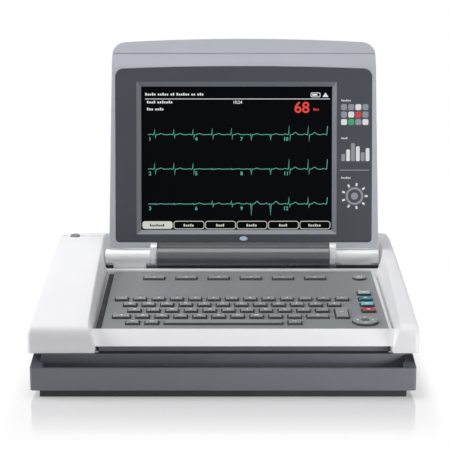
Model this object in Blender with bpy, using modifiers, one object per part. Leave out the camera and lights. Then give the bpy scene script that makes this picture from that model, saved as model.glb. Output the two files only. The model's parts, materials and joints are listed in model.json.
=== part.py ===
"""Portable resting ECG machine with a fold-down display and a paper drawer on its left.

Metres. X runs to the right, Y to the rear and Z up. The origin lies under the middle of
the machine, on the surface that it stands on.
"""

import math

import bmesh
import bpy
from mathutils import Matrix, Vector

# Fits
SEAT_GAP = 0.0003
GUIDE_GAP = 0.0004
WALL = 0.003
FLOOR = 0.0025
WELD = 0.000001
FLAT_ANGLE = 0.001
OVERSHOOT = 0.010
OVAL_FLAT = 0.00001
SHARP_ANGLE = math.radians(30.0)

# Keys
KEY_PITCH = 0.01905
KEY_WIDTH = 0.0140
KEY_DEPTH = 0.0125
KEY_RISE = 0.0024
KEY_TRAVEL = 0.0012
KEY_DRAFT = 0.0009
KEY_EDGE = 0.0005
TYPING_ROWS = 5
NUMBER_KEYS = 13
UPPER_KEYS = 12
HOME_KEYS = 11
LOWER_KEYS = 9
MODIFIER_KEYS_LEFT = 2
UPPER_OFFSET = 0.0097
HOME_OFFSET = 0.0154
LOWER_OFFSET = 0.0246
MODIFIER_OFFSET = 0.0156
LEFT_SHIFT_WIDTH = 0.0185
RIGHT_SHIFT_WIDTH = 0.0223
SPACE_WIDTH = 0.1176
FUNCTION_KEYS = 6
FUNCTION_WIDTH = 0.0232
FUNCTION_DEPTH = 0.0120
FUNCTION_PITCH = 0.0349
FUNCTION_OFFSET = 0.0258
FUNCTION_GAP = 0.0745
FIRST_ACTION_ROW = 2
ACTION_WIDTH = 0.0142
ACTION_GAP = 0.0103
POWER_RADIUS = 0.0075
TRIM_RADIUS = 0.0128
TRIM_OFFSET = 0.0067
TRIM_FROM_FRONT = 0.0190
TRIM_RISE = 0.0030
TRIM_DOME = 0.0010
TRIM_SKIRT = 0.0020
GIMBAL_RADIUS = 0.0030
GIMBAL_HEIGHT = 0.0013
CARRIER_HEIGHT = 0.0009
CARRIER_DEPTH = 0.0045
CARRIER_OVERLAP = 0.0020

# Keyboard panel
PANEL_MARGIN_LEFT = 0.0075
PANEL_MARGIN_RIGHT = 0.0082
PANEL_MARGIN_FRONT = 0.0103
PANEL_MARGIN_REAR = 0.0220
PANEL_PLATE = 0.0025
PANEL_SKIRT = 0.0020
PANEL_EDGE = 0.0008
BOARD_THICKNESS = 0.0016
DECK_TILT = math.radians(1.41)

# Widths across the body
WRITER_WIDTH = 0.0527
INNER_WALL_WIDTH = 0.0105
PANEL_GAP_LEFT = 0.0072
PANEL_GAP_RIGHT = 0.0055
RAIL_WIDTH = 0.0220
RECESS_DRAFT = 0.29

# Depths along the body
HANDLE_OVERHANG = 0.0125
DECK_SETBACK = 0.0232
HINGE_SETBACK = 0.0169
REAR_DECK_DEPTH = 0.1035

# Heights
FOOT_HEIGHT = 0.0064
LOWER_HEIGHT = 0.0290
CHASSIS_THICKNESS = 0.0015
DECK_FRONT_HEIGHT = 0.0206
SHOULDER_FRONT = 0.0306
SHOULDER_MIDDLE = 0.0412
SHOULDER_CREST = 0.0476
SHOULDER_TAIL = 0.0381
SHOULDER_FRONT_REACH = 0.140
SHOULDER_CREST_REACH = 0.118
SHOULDER_STEPS = 9
TAIL_STEPS = 4
CASE_FRONT_RADIUS = 0.0110
CASE_REAR_RADIUS = 0.0070
CASE_SIDE_RADIUS = 0.0050
CORNER_STEPS = 5
COVE_DEPTH = 0.0024
COVE_RIM = 0.0015
COVE_STEPS = 4
SKIRT_RISE = 0.0025

# Front strip and rear deck of the upper case
STRIP_SETBACK = 0.0080
STRIP_DROP = 0.0136
STRIP_LIP = 0.0016
STRIP_FOOT_INSET = 0.0025
LEDGE_GAP = 0.0019
LEDGE_RISE = 0.0012
LEDGE_DEPTH = 0.0050
HINGE_RISE = 0.0120
HINGE_CLEARANCE = 0.0148
VENTS = 10
VENT_PITCH = 0.0090
VENT_WIDTH = 0.0030
VENT_LENGTH = 0.0450
VENT_FROM_REAR = 0.0150

# Lower case and handle
LOWER_INSET = 0.0050
LOWER_REAR_INSET = 0.0055
HANDLE_REACH = 0.0255
FRONT_WALL = 0.0090
GRIP_RECESS = 0.0060
GRIP_LIP = 0.0100
LIP_GAP = 0.0009
LIP_THICKNESS = 0.0030
LIP_GROOVE = 0.0026
LIP_GROOVE_DEPTH = 0.0016
LIP_INSET_LEFT = 0.0050
LIP_INSET_RIGHT = 0.0065
HANDLE_DROP = 0.0064
HANDLE_ARM = 0.0080
HANDLE_CREST = 0.0030
HANDLE_BACK_DROP = 0.0045
HANDLE_TOP_THICKNESS = 0.0075
HANDLE_FOOT_THICKNESS = 0.0120
HANDLE_OUTER_RADIUS = 0.0030
HANDLE_INNER_RADIUS = 0.0025
HANDLE_FLARE = 0.0012
HANDLE_EDGE = 0.0012
RAIL_FOOT_INSET = 0.0015
RAIL_FOOT_DEPTH = 0.0090
FOOT_RADIUS = 0.0090
FOOT_FROM_SIDE = 0.0400
FOOT_FROM_REAR = 0.0350

# Contents of the lower case
POST_WIDTH = 0.0100
POST_FROM_SIDE = 0.0120
POST_FROM_FRONT = 0.0180
POST_FROM_REAR = 0.0160
SCREW_RADIUS = 0.0019
SCREW_HEAD_RADIUS = 0.0036
SCREW_HEAD_HEIGHT = 0.0020
SCREW_SINK = 0.0006
BATTERY_WIDTH = 0.0900
BATTERY_DEPTH = 0.1250
BATTERY_HEIGHT = 0.0200
BATTERY_FROM_SIDE = 0.0240
BATTERY_FROM_FRONT = 0.0350
BATTERY_DOOR_MARGIN = 0.0040
BATTERY_DOOR_THICKNESS = 0.0026
SUPPLY_WIDTH = 0.0900
SUPPLY_DEPTH = 0.1000
SUPPLY_HEIGHT = 0.0200
SUPPLY_GAP = 0.0110
MAIN_BOARD_WIDTH = 0.2000
MAIN_BOARD_DEPTH = 0.1900
MAIN_BOARD_GAP = 0.0200
PROCESSOR_WIDTH = 0.0450
PROCESSOR_HEIGHT = 0.0080
SOCKET_DROP = 0.0022
SOCKET_WIDTH = 0.0280
SOCKET_DEPTH = 0.0200
SOCKET_RIM = 0.0025
SOCKET_RECESS = 0.0140
INLET_FROM_SIDE = 0.0655
PORT_FROM_SIDE = 0.1255
PORT_RADIUS = 0.0080

# Writer drawer
TRAY_THICKNESS = 0.0016
TRAY_RIM = 0.0040
TRAY_RIM_WIDTH = 0.0020
PAPER_LENGTH = 0.2800
PAPER_WIDTH = 0.2160
PAPER_HEIGHT = 0.0060
PAPER_GAP = 0.0010
PAPER_START = 0.0040
PAPER_SLOT = 0.0030
PAPER_SLOT_RISE = 0.0130
ROLLER_RADIUS = 0.0080
ROLLER_SHAFT_RADIUS = 0.0030
ROLLER_RISE = 0.0146
ROLLER_END_GAP = 0.0020
BRACKET_THICKNESS = 0.0020
BRACKET_LOW = 0.0040
BRACKET_EDGE = 0.0040
BRACKET_BACK_HEIGHT = 0.0080
HEAD_DEPTH = 0.0122
HEAD_HEIGHT = 0.0090
HEAD_BELOW_AXIS = 0.0030
GEAR_MODULE = 0.0010
ROLLER_TEETH = 24
MOTOR_TEETH = 12
GEAR_WIDTH = 0.0060
GEAR_GAP = 0.0020
GEAR_SPACING = 0.0003
GEAR_ANGLE = math.radians(55.0)
TOOTH_TIP = 0.8
TOOTH_ROOT = 1.2
TIP_SHARE = 0.11
ROOT_SHARE = 0.27
MOTOR_RADIUS = 0.0080
MOTOR_LENGTH = 0.0220
MOTOR_FLANGE = 0.0020
MOTOR_FLANGE_HEIGHT = 0.0172
MOTOR_SHAFT_RADIUS = 0.0015
BUTTON_LENGTH = 0.0140
BUTTON_WIDTH = 0.0100
BUTTON_RISE = 0.0008
BUTTON_TRAVEL = 0.0015
BUTTON_FROM_SIDE = 0.0205
BUTTON_FROM_REAR = 0.0470

# Display
LID_LEAN = math.radians(11.11)
LCD_WIDTH = 0.2112
LCD_HEIGHT = 0.1584
LCD_FROM_LEFT = 0.0358
LCD_FROM_HINGE = 0.0301
LCD_MARGIN = 0.0060
LCD_DEPTH = 0.0080
GLASS_THICKNESS = 0.0011
GLASS_GAP = 0.0002
LID_LEFT_OVERLAP = 0.0069
LID_RIGHT_OVERLAP = 0.0089
LID_TAPER = 0.0038
LID_BOTTOM = 0.0098
LID_FRONT = 0.0033
LID_BACK = 0.0260
LID_ARCH = 0.0045
LID_CORNER = 0.0150
LID_FOOT_CORNER = 0.0040
LID_BACK_RADIUS = 0.0036
BROW_HEIGHT = 0.0312
BROW_STEP = 0.0150
BROW_SLOPE = 0.0050
BROW_NOTCH = 0.0010
BROW_SETBACK = 0.0030
BEZEL_THICKNESS = 0.0040
BEZEL_LEFT = 0.0076
BEZEL_RIGHT = 0.0079
BEZEL_BOTTOM_BAND = 0.0137
BEZEL_TOP_BAND = 0.0221
BEZEL_ARCH = 0.0030
BEZEL_CORNER = 0.0090
BEZEL_FOOT_CORNER = 0.0045
WINDOW_FLARE = 0.0050
ARCH_STEPS = 8
LENS_WIDTH = 0.0090
LENS_HEIGHT = 0.0050
LENS_BELOW_LCD = 0.0098
LENS_STEPS = 20
DISPLAY_BOARD_WIDTH = 0.1500
DISPLAY_BOARD_HEIGHT = 0.0900
DRIVER_WIDTH = 0.0600
DRIVER_HEIGHT = 0.0400
DRIVER_DEPTH = 0.0060

# Hinge
BARREL_RADIUS = 0.0086
EAR_RADIUS = 0.0095
EAR_WIDTH = 0.0070
EAR_SHOULDER = 0.0110
EAR_FROM_LEFT = 0.0461
EAR_FROM_RIGHT = 0.0473
COVER_RADIUS = 0.0123
PIN_RADIUS = 0.0025
PIN_IN_BARREL = 0.0400
PIN_IN_COVER = 0.0150
BARREL_FOOT_INSET = 0.0050
BARREL_FOOT_DEPTH = 0.0140
ROUND_STEPS = 24
SMALL_ROUND_STEPS = 16

# Derived widths
ACTION_LEFT = (
    PANEL_MARGIN_LEFT + (NUMBER_KEYS - 1) * KEY_PITCH + KEY_WIDTH + ACTION_GAP
)
PANEL_WIDTH = ACTION_LEFT + ACTION_WIDTH + PANEL_MARGIN_RIGHT
BODY_WIDTH = (
    WRITER_WIDTH + SEAT_GAP + INNER_WALL_WIDTH + PANEL_GAP_LEFT
    + PANEL_WIDTH + PANEL_GAP_RIGHT + RAIL_WIDTH
)
LEFT_X = -BODY_WIDTH / 2
RIGHT_X = BODY_WIDTH / 2
DOOR_RIGHT_X = LEFT_X + WRITER_WIDTH
UPPER_LEFT_X = DOOR_RIGHT_X + SEAT_GAP
RECESS_LEFT_X = UPPER_LEFT_X + INNER_WALL_WIDTH
PANEL_LEFT_X = RECESS_LEFT_X + PANEL_GAP_LEFT
PANEL_RIGHT_X = PANEL_LEFT_X + PANEL_WIDTH
RECESS_RIGHT_X = PANEL_RIGHT_X + PANEL_GAP_RIGHT
LOWER_HALF_X = RIGHT_X - LOWER_INSET
INLET_X = INLET_FROM_SIDE - LOWER_HALF_X
PORT_X = LOWER_HALF_X - PORT_FROM_SIDE

# Derived depths
FUNCTION_FRONT = PANEL_MARGIN_FRONT + (TYPING_ROWS - 1) * KEY_PITCH + FUNCTION_GAP
PANEL_DEPTH = FUNCTION_FRONT + FUNCTION_DEPTH + PANEL_MARGIN_REAR
PANEL_RUN = PANEL_DEPTH * math.cos(DECK_TILT)
BODY_DEPTH = (
    HANDLE_OVERHANG + DECK_SETBACK + PANEL_RUN + HINGE_SETBACK + REAR_DECK_DEPTH
)
FRONT_Y = -BODY_DEPTH / 2
REAR_Y = BODY_DEPTH / 2
CASE_FRONT_Y = FRONT_Y + HANDLE_OVERHANG
DECK_FRONT_Y = CASE_FRONT_Y + DECK_SETBACK
DECK_REAR_Y = DECK_FRONT_Y + PANEL_RUN
HINGE_Y = DECK_REAR_Y + HINGE_SETBACK
LOWER_FRONT_Y = FRONT_Y + HANDLE_REACH
LOWER_REAR_Y = REAR_Y - LOWER_REAR_INSET
LOWER_INNER_FRONT_Y = LOWER_FRONT_Y + FRONT_WALL

# Derived heights
LOWER_Z = FOOT_HEIGHT + SEAT_GAP
LOWER_TOP_Z = LOWER_Z + LOWER_HEIGHT
LOWER_FLOOR_Z = LOWER_Z + WALL
CHASSIS_Z = LOWER_TOP_Z + SEAT_GAP
CHASSIS_TOP_Z = CHASSIS_Z + CHASSIS_THICKNESS
CASE_Z = CHASSIS_TOP_Z + SEAT_GAP
DECK_FRONT_Z = CASE_Z + DECK_FRONT_HEIGHT
DECK_REAR_Z = DECK_FRONT_Z + PANEL_DEPTH * math.sin(DECK_TILT)
HINGE_Z = DECK_REAR_Z + HINGE_RISE
REAR_DECK_Z = HINGE_Z - HINGE_CLEARANCE
LEDGE_Z = DECK_REAR_Z + LEDGE_RISE
BOARD_DROP = PANEL_PLATE + GUIDE_GAP + CARRIER_HEIGHT + KEY_TRAVEL + SEAT_GAP
PANEL_HEIGHT = BOARD_DROP + BOARD_THICKNESS + SEAT_GAP
RECESS_DROP = PANEL_HEIGHT + SEAT_GAP
RECESS_FRONT_Y = DECK_FRONT_Y - SEAT_GAP
LEDGE_FRONT_Y = DECK_REAR_Y + LEDGE_GAP
LEDGE_REAR_Y = LEDGE_FRONT_Y + LEDGE_DEPTH
STRIP_TOP_Y = RECESS_FRONT_Y - STRIP_LIP
STRIP_BOTTOM_Y = CASE_FRONT_Y + STRIP_SETBACK
STRIP_BOTTOM_Z = DECK_FRONT_Z - STRIP_DROP

# Derived display sizes
LID_LEFT_X = PANEL_LEFT_X - LID_LEFT_OVERLAP
LID_RIGHT_X = PANEL_RIGHT_X + LID_RIGHT_OVERLAP
LCD_LEFT_X = LID_LEFT_X + LCD_FROM_LEFT
LCD_RIGHT_X = LCD_LEFT_X + LCD_WIDTH
LCD_TOP = LCD_FROM_HINGE + LCD_HEIGHT
BEZEL_LEFT_X = LID_LEFT_X + BEZEL_LEFT
BEZEL_RIGHT_X = LID_RIGHT_X - BEZEL_RIGHT
BEZEL_BOTTOM = LCD_FROM_HINGE - BEZEL_BOTTOM_BAND
BEZEL_TOP = LCD_TOP + BEZEL_TOP_BAND
LID_TOP = BEZEL_TOP + BROW_HEIGHT
BEZEL_BACK = BEZEL_THICKNESS - LID_FRONT
GLASS_FRONT = BEZEL_BACK + GLASS_GAP
MODULE_FRONT = GLASS_FRONT + GLASS_THICKNESS + SEAT_GAP
BOARD_FRONT = MODULE_FRONT + LCD_DEPTH + SEAT_GAP
EAR_LEFT_X = LID_LEFT_X + EAR_FROM_LEFT
EAR_RIGHT_X = LID_RIGHT_X - EAR_FROM_RIGHT
EAR_TOP = BEZEL_BOTTOM - 2 * SEAT_GAP
COVER_LEFT_X = EAR_LEFT_X + EAR_WIDTH + SEAT_GAP
COVER_RIGHT_X = EAR_RIGHT_X - EAR_WIDTH - SEAT_GAP

# Derived writer places
DOOR_INNER_X = LEFT_X + WALL
HEAD_RIGHT_X = UPPER_LEFT_X - SEAT_GAP
HEAD_LEFT_X = HEAD_RIGHT_X - HEAD_DEPTH
BUTTON_HEIGHT = WALL + 2 * BUTTON_TRAVEL
ROLLER_X = HEAD_LEFT_X - SEAT_GAP - ROLLER_RADIUS
ROLLER_Z = CASE_Z + ROLLER_RISE
ROLLER_HALF = PAPER_WIDTH / 2 + ROLLER_END_GAP
BRACKET_INNER_Y = ROLLER_HALF + SEAT_GAP
BRACKET_OUTER_Y = BRACKET_INNER_Y + BRACKET_THICKNESS
GEAR_FRONT_Y = BRACKET_OUTER_Y + GEAR_GAP
GEAR_REAR_Y = GEAR_FRONT_Y + GEAR_WIDTH
GEAR_CENTRES = GEAR_MODULE * (ROLLER_TEETH + MOTOR_TEETH) / 2 + GEAR_SPACING
MOTOR_X = ROLLER_X + GEAR_CENTRES * math.cos(GEAR_ANGLE)
MOTOR_Z = ROLLER_Z + GEAR_CENTRES * math.sin(GEAR_ANGLE)
TRAY_Z = CASE_Z
TRAY_TOP_Z = TRAY_Z + TRAY_THICKNESS
PAPER_LEFT_X = UPPER_LEFT_X + PAPER_START
PAPER_RIGHT_X = PAPER_LEFT_X + PAPER_LENGTH
TRAY_RIGHT_X = PAPER_RIGHT_X + PAPER_GAP + TRAY_RIM_WIDTH
TRAY_HALF_Y = PAPER_WIDTH / 2 + PAPER_GAP + TRAY_RIM_WIDTH

for old in list(bpy.data.objects):
    bpy.data.objects.remove(old, do_unlink=True)

PARTS = bpy.data.collections.new("ecg_machine")
CUTTERS = bpy.data.collections.new("ecg_machine_cutters")
bpy.context.scene.collection.children.link(PARTS)
bpy.context.scene.collection.children.link(CUTTERS)


def material(name, colour, roughness, metallic=0.0):
    made = bpy.data.materials.new(name)
    made.use_nodes = True
    shader = made.node_tree.nodes["Principled BSDF"]
    shader.inputs["Base Color"].default_value = (*colour, 1.0)
    shader.inputs["Roughness"].default_value = roughness
    shader.inputs["Metallic"].default_value = metallic
    return made


WHITE = ((0.78, 0.78, 0.79), 0.42)
SHELL_GREY = ((0.47, 0.48, 0.52), 0.40)
DARK_GREY = ((0.095, 0.095, 0.110), 0.45)
BEZEL_GREY = ((0.055, 0.060, 0.070), 0.40)
DECK_GREY = ((0.26, 0.27, 0.275), 0.50)
RUBBER = ((0.020, 0.020, 0.022), 0.80)
STEEL = ((0.60, 0.60, 0.62), 0.30, 1.0)
CIRCUIT = ((0.020, 0.130, 0.060), 0.50)
SCREEN = ((0.010, 0.013, 0.014), 0.15)
PAPER = ((0.85, 0.83, 0.80), 0.90)
GREEN_KEY = ((0.40, 0.47, 0.43), 0.50)
TEAL_KEY = ((0.060, 0.330, 0.330), 0.50)
BLUE_KEY = ((0.250, 0.550, 0.650), 0.50)
RED_KEY = ((0.550, 0.040, 0.050), 0.50)
LENS_PALE = ((0.520, 0.620, 0.760), 0.20)


def place(name, mesh, look, parent=None, origin=(0.0, 0.0, 0.0)):
    """A visible part, its mesh measured from its origin."""
    made = bpy.data.objects.new(name, mesh)
    made.data.materials.append(material(name, *look))
    made.location = origin
    made.parent = parent
    PARTS.objects.link(made)
    return made


def guide(name, mesh, parent=None, origin=(0.0, 0.0, 0.0)):
    """A hidden shape that only cuts or joins."""
    made = bpy.data.objects.new(name, mesh)
    made.location = origin
    made.parent = parent
    made.hide_render = True
    made.display_type = "WIRE"
    CUTTERS.objects.link(made)
    return made


def frame(name, location, turn):
    made = bpy.data.objects.new(name, None)
    made.location = location
    made.rotation_euler = (turn, 0.0, 0.0)
    PARTS.objects.link(made)
    return made


def finished(work, name):
    mesh = bpy.data.meshes.new(name)
    bmesh.ops.recalc_face_normals(work, faces=work.faces)
    work.to_mesh(mesh)
    work.free()
    return mesh


def add_box(work, low, high, draft=0.0):
    """One box, its top drawn in by the draft on each side."""
    low = Vector(low)
    high = Vector(high)
    size = Matrix.Diagonal((high - low).to_4d())
    size[3][3] = 1.0
    made = bmesh.ops.create_cube(
        work, size=1.0, matrix=Matrix.Translation((low + high) / 2) @ size
    )
    middle = (low + high) / 2
    for vertex in made["verts"]:
        if vertex.co.z > middle.z:
            for side in (0, 1):
                inward = -draft if vertex.co[side] > middle[side] else draft
                vertex.co[side] += inward


def box(name, low, high, draft=0.0):
    work = bmesh.new()
    add_box(work, low, high, draft)
    return finished(work, name)


def boxes(name, corners, draft=0.0):
    """Several boxes that stand clear of each other, as one mesh."""
    work = bmesh.new()
    for low, high in corners:
        add_box(work, low, high, draft)
    return finished(work, name)


TURNS = {
    "X": Matrix.Rotation(math.pi / 2, 4, "Y"),
    "Y": Matrix.Rotation(-math.pi / 2, 4, "X"),
    "Z": Matrix.Identity(4),
}


def cylinder(name, radius, axis, low, high, at=(0.0, 0.0, 0.0), top_radius=None):
    """A round bar from low to high along the axis, through the point at."""
    work = bmesh.new()
    turn = TURNS[axis]
    along = turn.to_3x3() @ Vector((0.0, 0.0, 1.0))
    centre = Vector(at) + along * ((low + high) / 2)
    bmesh.ops.create_cone(
        work,
        cap_ends=True,
        segments=ROUND_STEPS,
        radius1=radius,
        radius2=radius if top_radius is None else top_radius,
        depth=high - low,
        matrix=Matrix.Translation(centre) @ turn,
    )
    return finished(work, name)


PLANES = {
    "XY": Matrix.Identity(4),
    "XZ": Matrix(((1, 0, 0, 0), (0, 0, 1, 0), (0, 1, 0, 0), (0, 0, 0, 1))),
    "YZ": Matrix(((0, 0, 1, 0), (1, 0, 0, 0), (0, 1, 0, 0), (0, 0, 0, 1))),
}


def prism(name, outline, plane, low, high, low_side=None, high_side=None):
    """A closed outline drawn in a plane and pushed from low to high across it.

    low_side and high_side lean an end of an X-wise prism: they give its x at a height.
    """
    curve = bpy.data.curves.new(name, "CURVE")
    curve.dimensions = "2D"
    curve.fill_mode = "BOTH"
    curve.extrude = (high - low) / 2
    spline = curve.splines.new("POLY")
    spline.points.add(len(outline) - 1)
    for point, (across, up) in zip(spline.points, outline):
        point.co = (across, up, 0.0, 1.0)
    spline.use_cyclic_u = True
    drawn = bpy.data.objects.new(name, curve)
    CUTTERS.objects.link(drawn)
    graph = bpy.context.evaluated_depsgraph_get()
    mesh = bpy.data.meshes.new_from_object(drawn.evaluated_get(graph))
    bpy.data.objects.remove(drawn)
    bpy.data.curves.remove(curve)
    work = bmesh.new()
    work.from_mesh(mesh)
    bpy.data.meshes.remove(mesh)
    bmesh.ops.remove_doubles(work, verts=work.verts, dist=WELD)
    bmesh.ops.dissolve_limit(
        work, angle_limit=FLAT_ANGLE, verts=work.verts, edges=work.edges
    )
    shift = Matrix.Translation((0.0, 0.0, (low + high) / 2))
    bmesh.ops.transform(work, matrix=PLANES[plane] @ shift, verts=work.verts)
    middle = (low + high) / 2
    for vertex in work.verts:
        if vertex.co.x < middle and low_side:
            vertex.co.x = low_side(vertex.co.z)
        elif vertex.co.x > middle and high_side:
            vertex.co.x = high_side(vertex.co.z)
    return finished(work, name)


def rounded(corners, steps=CORNER_STEPS):
    """An outline whose corners, given as (point, radius), are arcs."""
    points = []
    for index, (corner, radius) in enumerate(corners):
        here = Vector(corner)
        if not radius:
            points.append(tuple(here))
            continue
        back = (Vector(corners[index - 1][0]) - here).normalized()
        ahead = (Vector(corners[(index + 1) % len(corners)][0]) - here).normalized()
        half = back.angle(ahead) / 2
        centre = here + (back + ahead).normalized() * (radius / math.sin(half))
        first = here + back * (radius / math.tan(half)) - centre
        last = here + ahead * (radius / math.tan(half)) - centre
        for step in range(steps + 1):
            share = step / steps
            spoke = first.slerp(last, share).normalized() * radius
            points.append(tuple(centre + spoke))
    return points


def change(target, tool, operation):
    modifier = target.modifiers.new(tool.name, "BOOLEAN")
    modifier.operation = operation
    modifier.object = tool
    modifier.solver = "EXACT"


def cut(target, *tools):
    for tool in tools:
        change(target, tool, "DIFFERENCE")


def join(target, *tools):
    for tool in tools:
        change(target, tool, "UNION")


def soften(target, width, segments, chosen=None):
    """Round all sharp edges, or those whose middle the test picks."""
    modifier = target.modifiers.new("soften", "BEVEL")
    modifier.width = width
    modifier.segments = segments
    if chosen is None:
        modifier.limit_method = "ANGLE"
        return
    work = bmesh.new()
    work.from_mesh(target.data)
    weight = work.edges.layers.float.new("bevel_weight_edge")
    for edge in work.edges:
        middle = (edge.verts[0].co + edge.verts[1].co) / 2
        edge[weight] = 1.0 if chosen(middle) else 0.0
    work.to_mesh(target.data)
    work.free()
    modifier.limit_method = "WEIGHT"


def parabola(stations, here):
    """The height at one place of the parabola through three stations."""
    height = 0.0
    for index, (place_y, value) in enumerate(stations):
        share = value
        for other, (other_y, _) in enumerate(stations):
            if other != index:
                share *= (here - other_y) / (place_y - other_y)
        height += share
    return height


SHOULDER_STATIONS = (
    (-SHOULDER_FRONT_REACH, CASE_Z + SHOULDER_FRONT),
    (0.0, CASE_Z + SHOULDER_MIDDLE),
    (SHOULDER_CREST_REACH, CASE_Z + SHOULDER_CREST),
)


def shoulder_z(y):
    """Top of the side housings: a slow rise from the front, then a fall to the tail."""
    if y <= SHOULDER_CREST_REACH:
        return parabola(SHOULDER_STATIONS, y)
    share = (y - SHOULDER_CREST_REACH) / (REAR_Y - SHOULDER_CREST_REACH)
    return CASE_Z + SHOULDER_CREST - (SHOULDER_CREST - SHOULDER_TAIL) * share**2


def case_outline(inset=0.0, bottom=CASE_Z, rise=0.0):
    """Side view of the housings, drawn in by the inset, with the front overhang cut up by the rise.

    The outer front is a shallow cove over a rim; the inner one is straight.
    """
    front = CASE_FRONT_Y + COVE_DEPTH + inset
    rear = REAR_Y - inset
    front_radius = CASE_FRONT_RADIUS - inset
    rear_radius = CASE_REAR_RADIUS - inset
    low = shoulder_z(front + front_radius) - inset - front_radius
    if inset:
        points = [(front, bottom + rise)]
    else:
        foot = bottom + rise
        points = [(CASE_FRONT_Y, foot)]
        for step in range(COVE_STEPS):
            share = step / COVE_STEPS
            height = foot + COVE_RIM + (low - foot - COVE_RIM) * share
            points.append((front - COVE_DEPTH * (1 - share) ** 2, height))
    for step in range(CORNER_STEPS + 1):
        turn = math.pi - math.pi / 2 * step / CORNER_STEPS
        across = front + front_radius * (1 + math.cos(turn))
        points.append((across, low + front_radius * math.sin(turn)))
    first = front + front_radius
    for step in range(1, SHOULDER_STEPS + 1):
        y = first + (SHOULDER_CREST_REACH - first) * step / SHOULDER_STEPS
        points.append((y, shoulder_z(y) - inset))
    last = rear - rear_radius
    for step in range(1, TAIL_STEPS + 1):
        y = SHOULDER_CREST_REACH + (last - SHOULDER_CREST_REACH) * step / TAIL_STEPS
        points.append((y, shoulder_z(y) - inset))
    high = shoulder_z(last) - inset - rear_radius
    for step in range(1, CORNER_STEPS + 1):
        turn = math.pi / 2 - math.pi / 2 * step / CORNER_STEPS
        across = last + rear_radius * math.cos(turn)
        points.append((across, high + rear_radius * math.sin(turn)))
    points.append((rear, bottom))
    if rise:
        points += [(LOWER_FRONT_Y, bottom), (LOWER_FRONT_Y, bottom + rise)]
    return points


def recess_z(y):
    """Floor of the keyboard recess, parallel to the deck."""
    rise = (y - DECK_FRONT_Y) * math.tan(DECK_TILT)
    return DECK_FRONT_Z - RECESS_DROP + rise


def recess_left(z):
    return RECESS_LEFT_X - RECESS_DRAFT * (z - recess_z(0.0))


def recess_right(z):
    return RECESS_RIGHT_X + RECESS_DRAFT * (z - recess_z(0.0))


def rail_inner(z):
    return recess_right(z) + WALL


def below(z):
    return z - OVERSHOOT


def build_lower_case():
    case = place(
        "lower_case",
        box(
            "lower_case",
            (-LOWER_HALF_X, LOWER_FRONT_Y, LOWER_Z),
            (LOWER_HALF_X, LOWER_REAR_Y, LOWER_TOP_Z),
        ),
        DARK_GREY,
    )
    inner = LOWER_HALF_X - WALL
    cut(case, guide(
        "lower_case_inside",
        box(
            "lower_case_inside",
            (-inner, LOWER_INNER_FRONT_Y, LOWER_FLOOR_Z),
            (inner, LOWER_REAR_Y - WALL, LOWER_TOP_Z + OVERSHOOT),
        ),
    ))
    grip = LOWER_HALF_X - HANDLE_ARM - SEAT_GAP
    cut(case, guide(
        "grip_recess",
        box(
            "grip_recess",
            (-grip, LOWER_FRONT_Y - OVERSHOOT, below(LOWER_Z)),
            (grip, LOWER_FRONT_Y + GRIP_RECESS, LOWER_TOP_Z - GRIP_LIP),
        ),
    ))
    join(case, guide(
        "front_lip",
        box(
            "front_lip",
            (RECESS_LEFT_X + LIP_INSET_LEFT, LOWER_FRONT_Y, LOWER_TOP_Z - WALL),
            (RECESS_RIGHT_X - LIP_INSET_RIGHT, LOWER_FRONT_Y + LIP_THICKNESS,
             STRIP_BOTTOM_Z - LIP_GAP),
        ),
    ))
    cut(case, guide("lip_groove", box(
        "lip_groove",
        (-LOWER_HALF_X, LOWER_FRONT_Y - OVERSHOOT, LOWER_TOP_Z),
        (LOWER_HALF_X, LOWER_FRONT_Y + LIP_GROOVE_DEPTH, LOWER_TOP_Z + LIP_GROOVE),
    )))
    post_half = POST_WIDTH / 2
    corners = []
    for x, y in screw_places():
        corners.append((
            (x - post_half, y - post_half, LOWER_FLOOR_Z - WALL / 2),
            (x + post_half, y + post_half, LOWER_TOP_Z),
        ))
    join(case, guide("screw_posts", boxes("screw_posts", corners)))
    for index, (x, y) in enumerate(screw_places()):
        name = f"post_bore_{index}"
        cut(case, guide(name, cylinder(
            name, SCREW_RADIUS + SEAT_GAP, "Z", below(LOWER_Z),
            LOWER_TOP_Z + OVERSHOOT, (x, y, 0.0),
        )))
        name = f"post_counterbore_{index}"
        cut(case, guide(name, cylinder(
            name, SCREW_HEAD_RADIUS + SEAT_GAP, "Z", below(LOWER_Z),
            screw_seat_z() + SEAT_GAP, (x, y, 0.0),
        )))
    low, high = battery_door_corners(SEAT_GAP)
    cut(case, guide("battery_opening", box(
        "battery_opening",
        (low[0], low[1], below(LOWER_Z)),
        (high[0], high[1], LOWER_FLOOR_Z + OVERSHOOT / 2),
    )))
    cut(case, guide("socket_openings", boxes("socket_openings", [
        socket_corners(x, SEAT_GAP, OVERSHOOT) for x in (INLET_X, PORT_X)
    ])))


def screw_places():
    x = LOWER_HALF_X - POST_FROM_SIDE
    front = LOWER_INNER_FRONT_Y + POST_FROM_FRONT
    rear = LOWER_REAR_Y - POST_FROM_REAR
    return ((-x, front), (x, front), (-x, rear), (x, rear))


def screw_seat_z():
    return LOWER_Z + SCREW_SINK + SCREW_HEAD_HEIGHT


def battery_corners():
    left = -LOWER_HALF_X + BATTERY_FROM_SIDE
    front = LOWER_INNER_FRONT_Y + BATTERY_FROM_FRONT
    low = (left, front, LOWER_FLOOR_Z + SEAT_GAP)
    high = (left + BATTERY_WIDTH, front + BATTERY_DEPTH, low[2] + BATTERY_HEIGHT)
    return low, high


def battery_door_corners(grow):
    low, high = battery_corners()
    margin = BATTERY_DOOR_MARGIN + grow
    return (
        (low[0] - margin, low[1] - margin, LOWER_FLOOR_Z - BATTERY_DOOR_THICKNESS),
        (high[0] + margin, high[1] + margin, LOWER_FLOOR_Z),
    )


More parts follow.
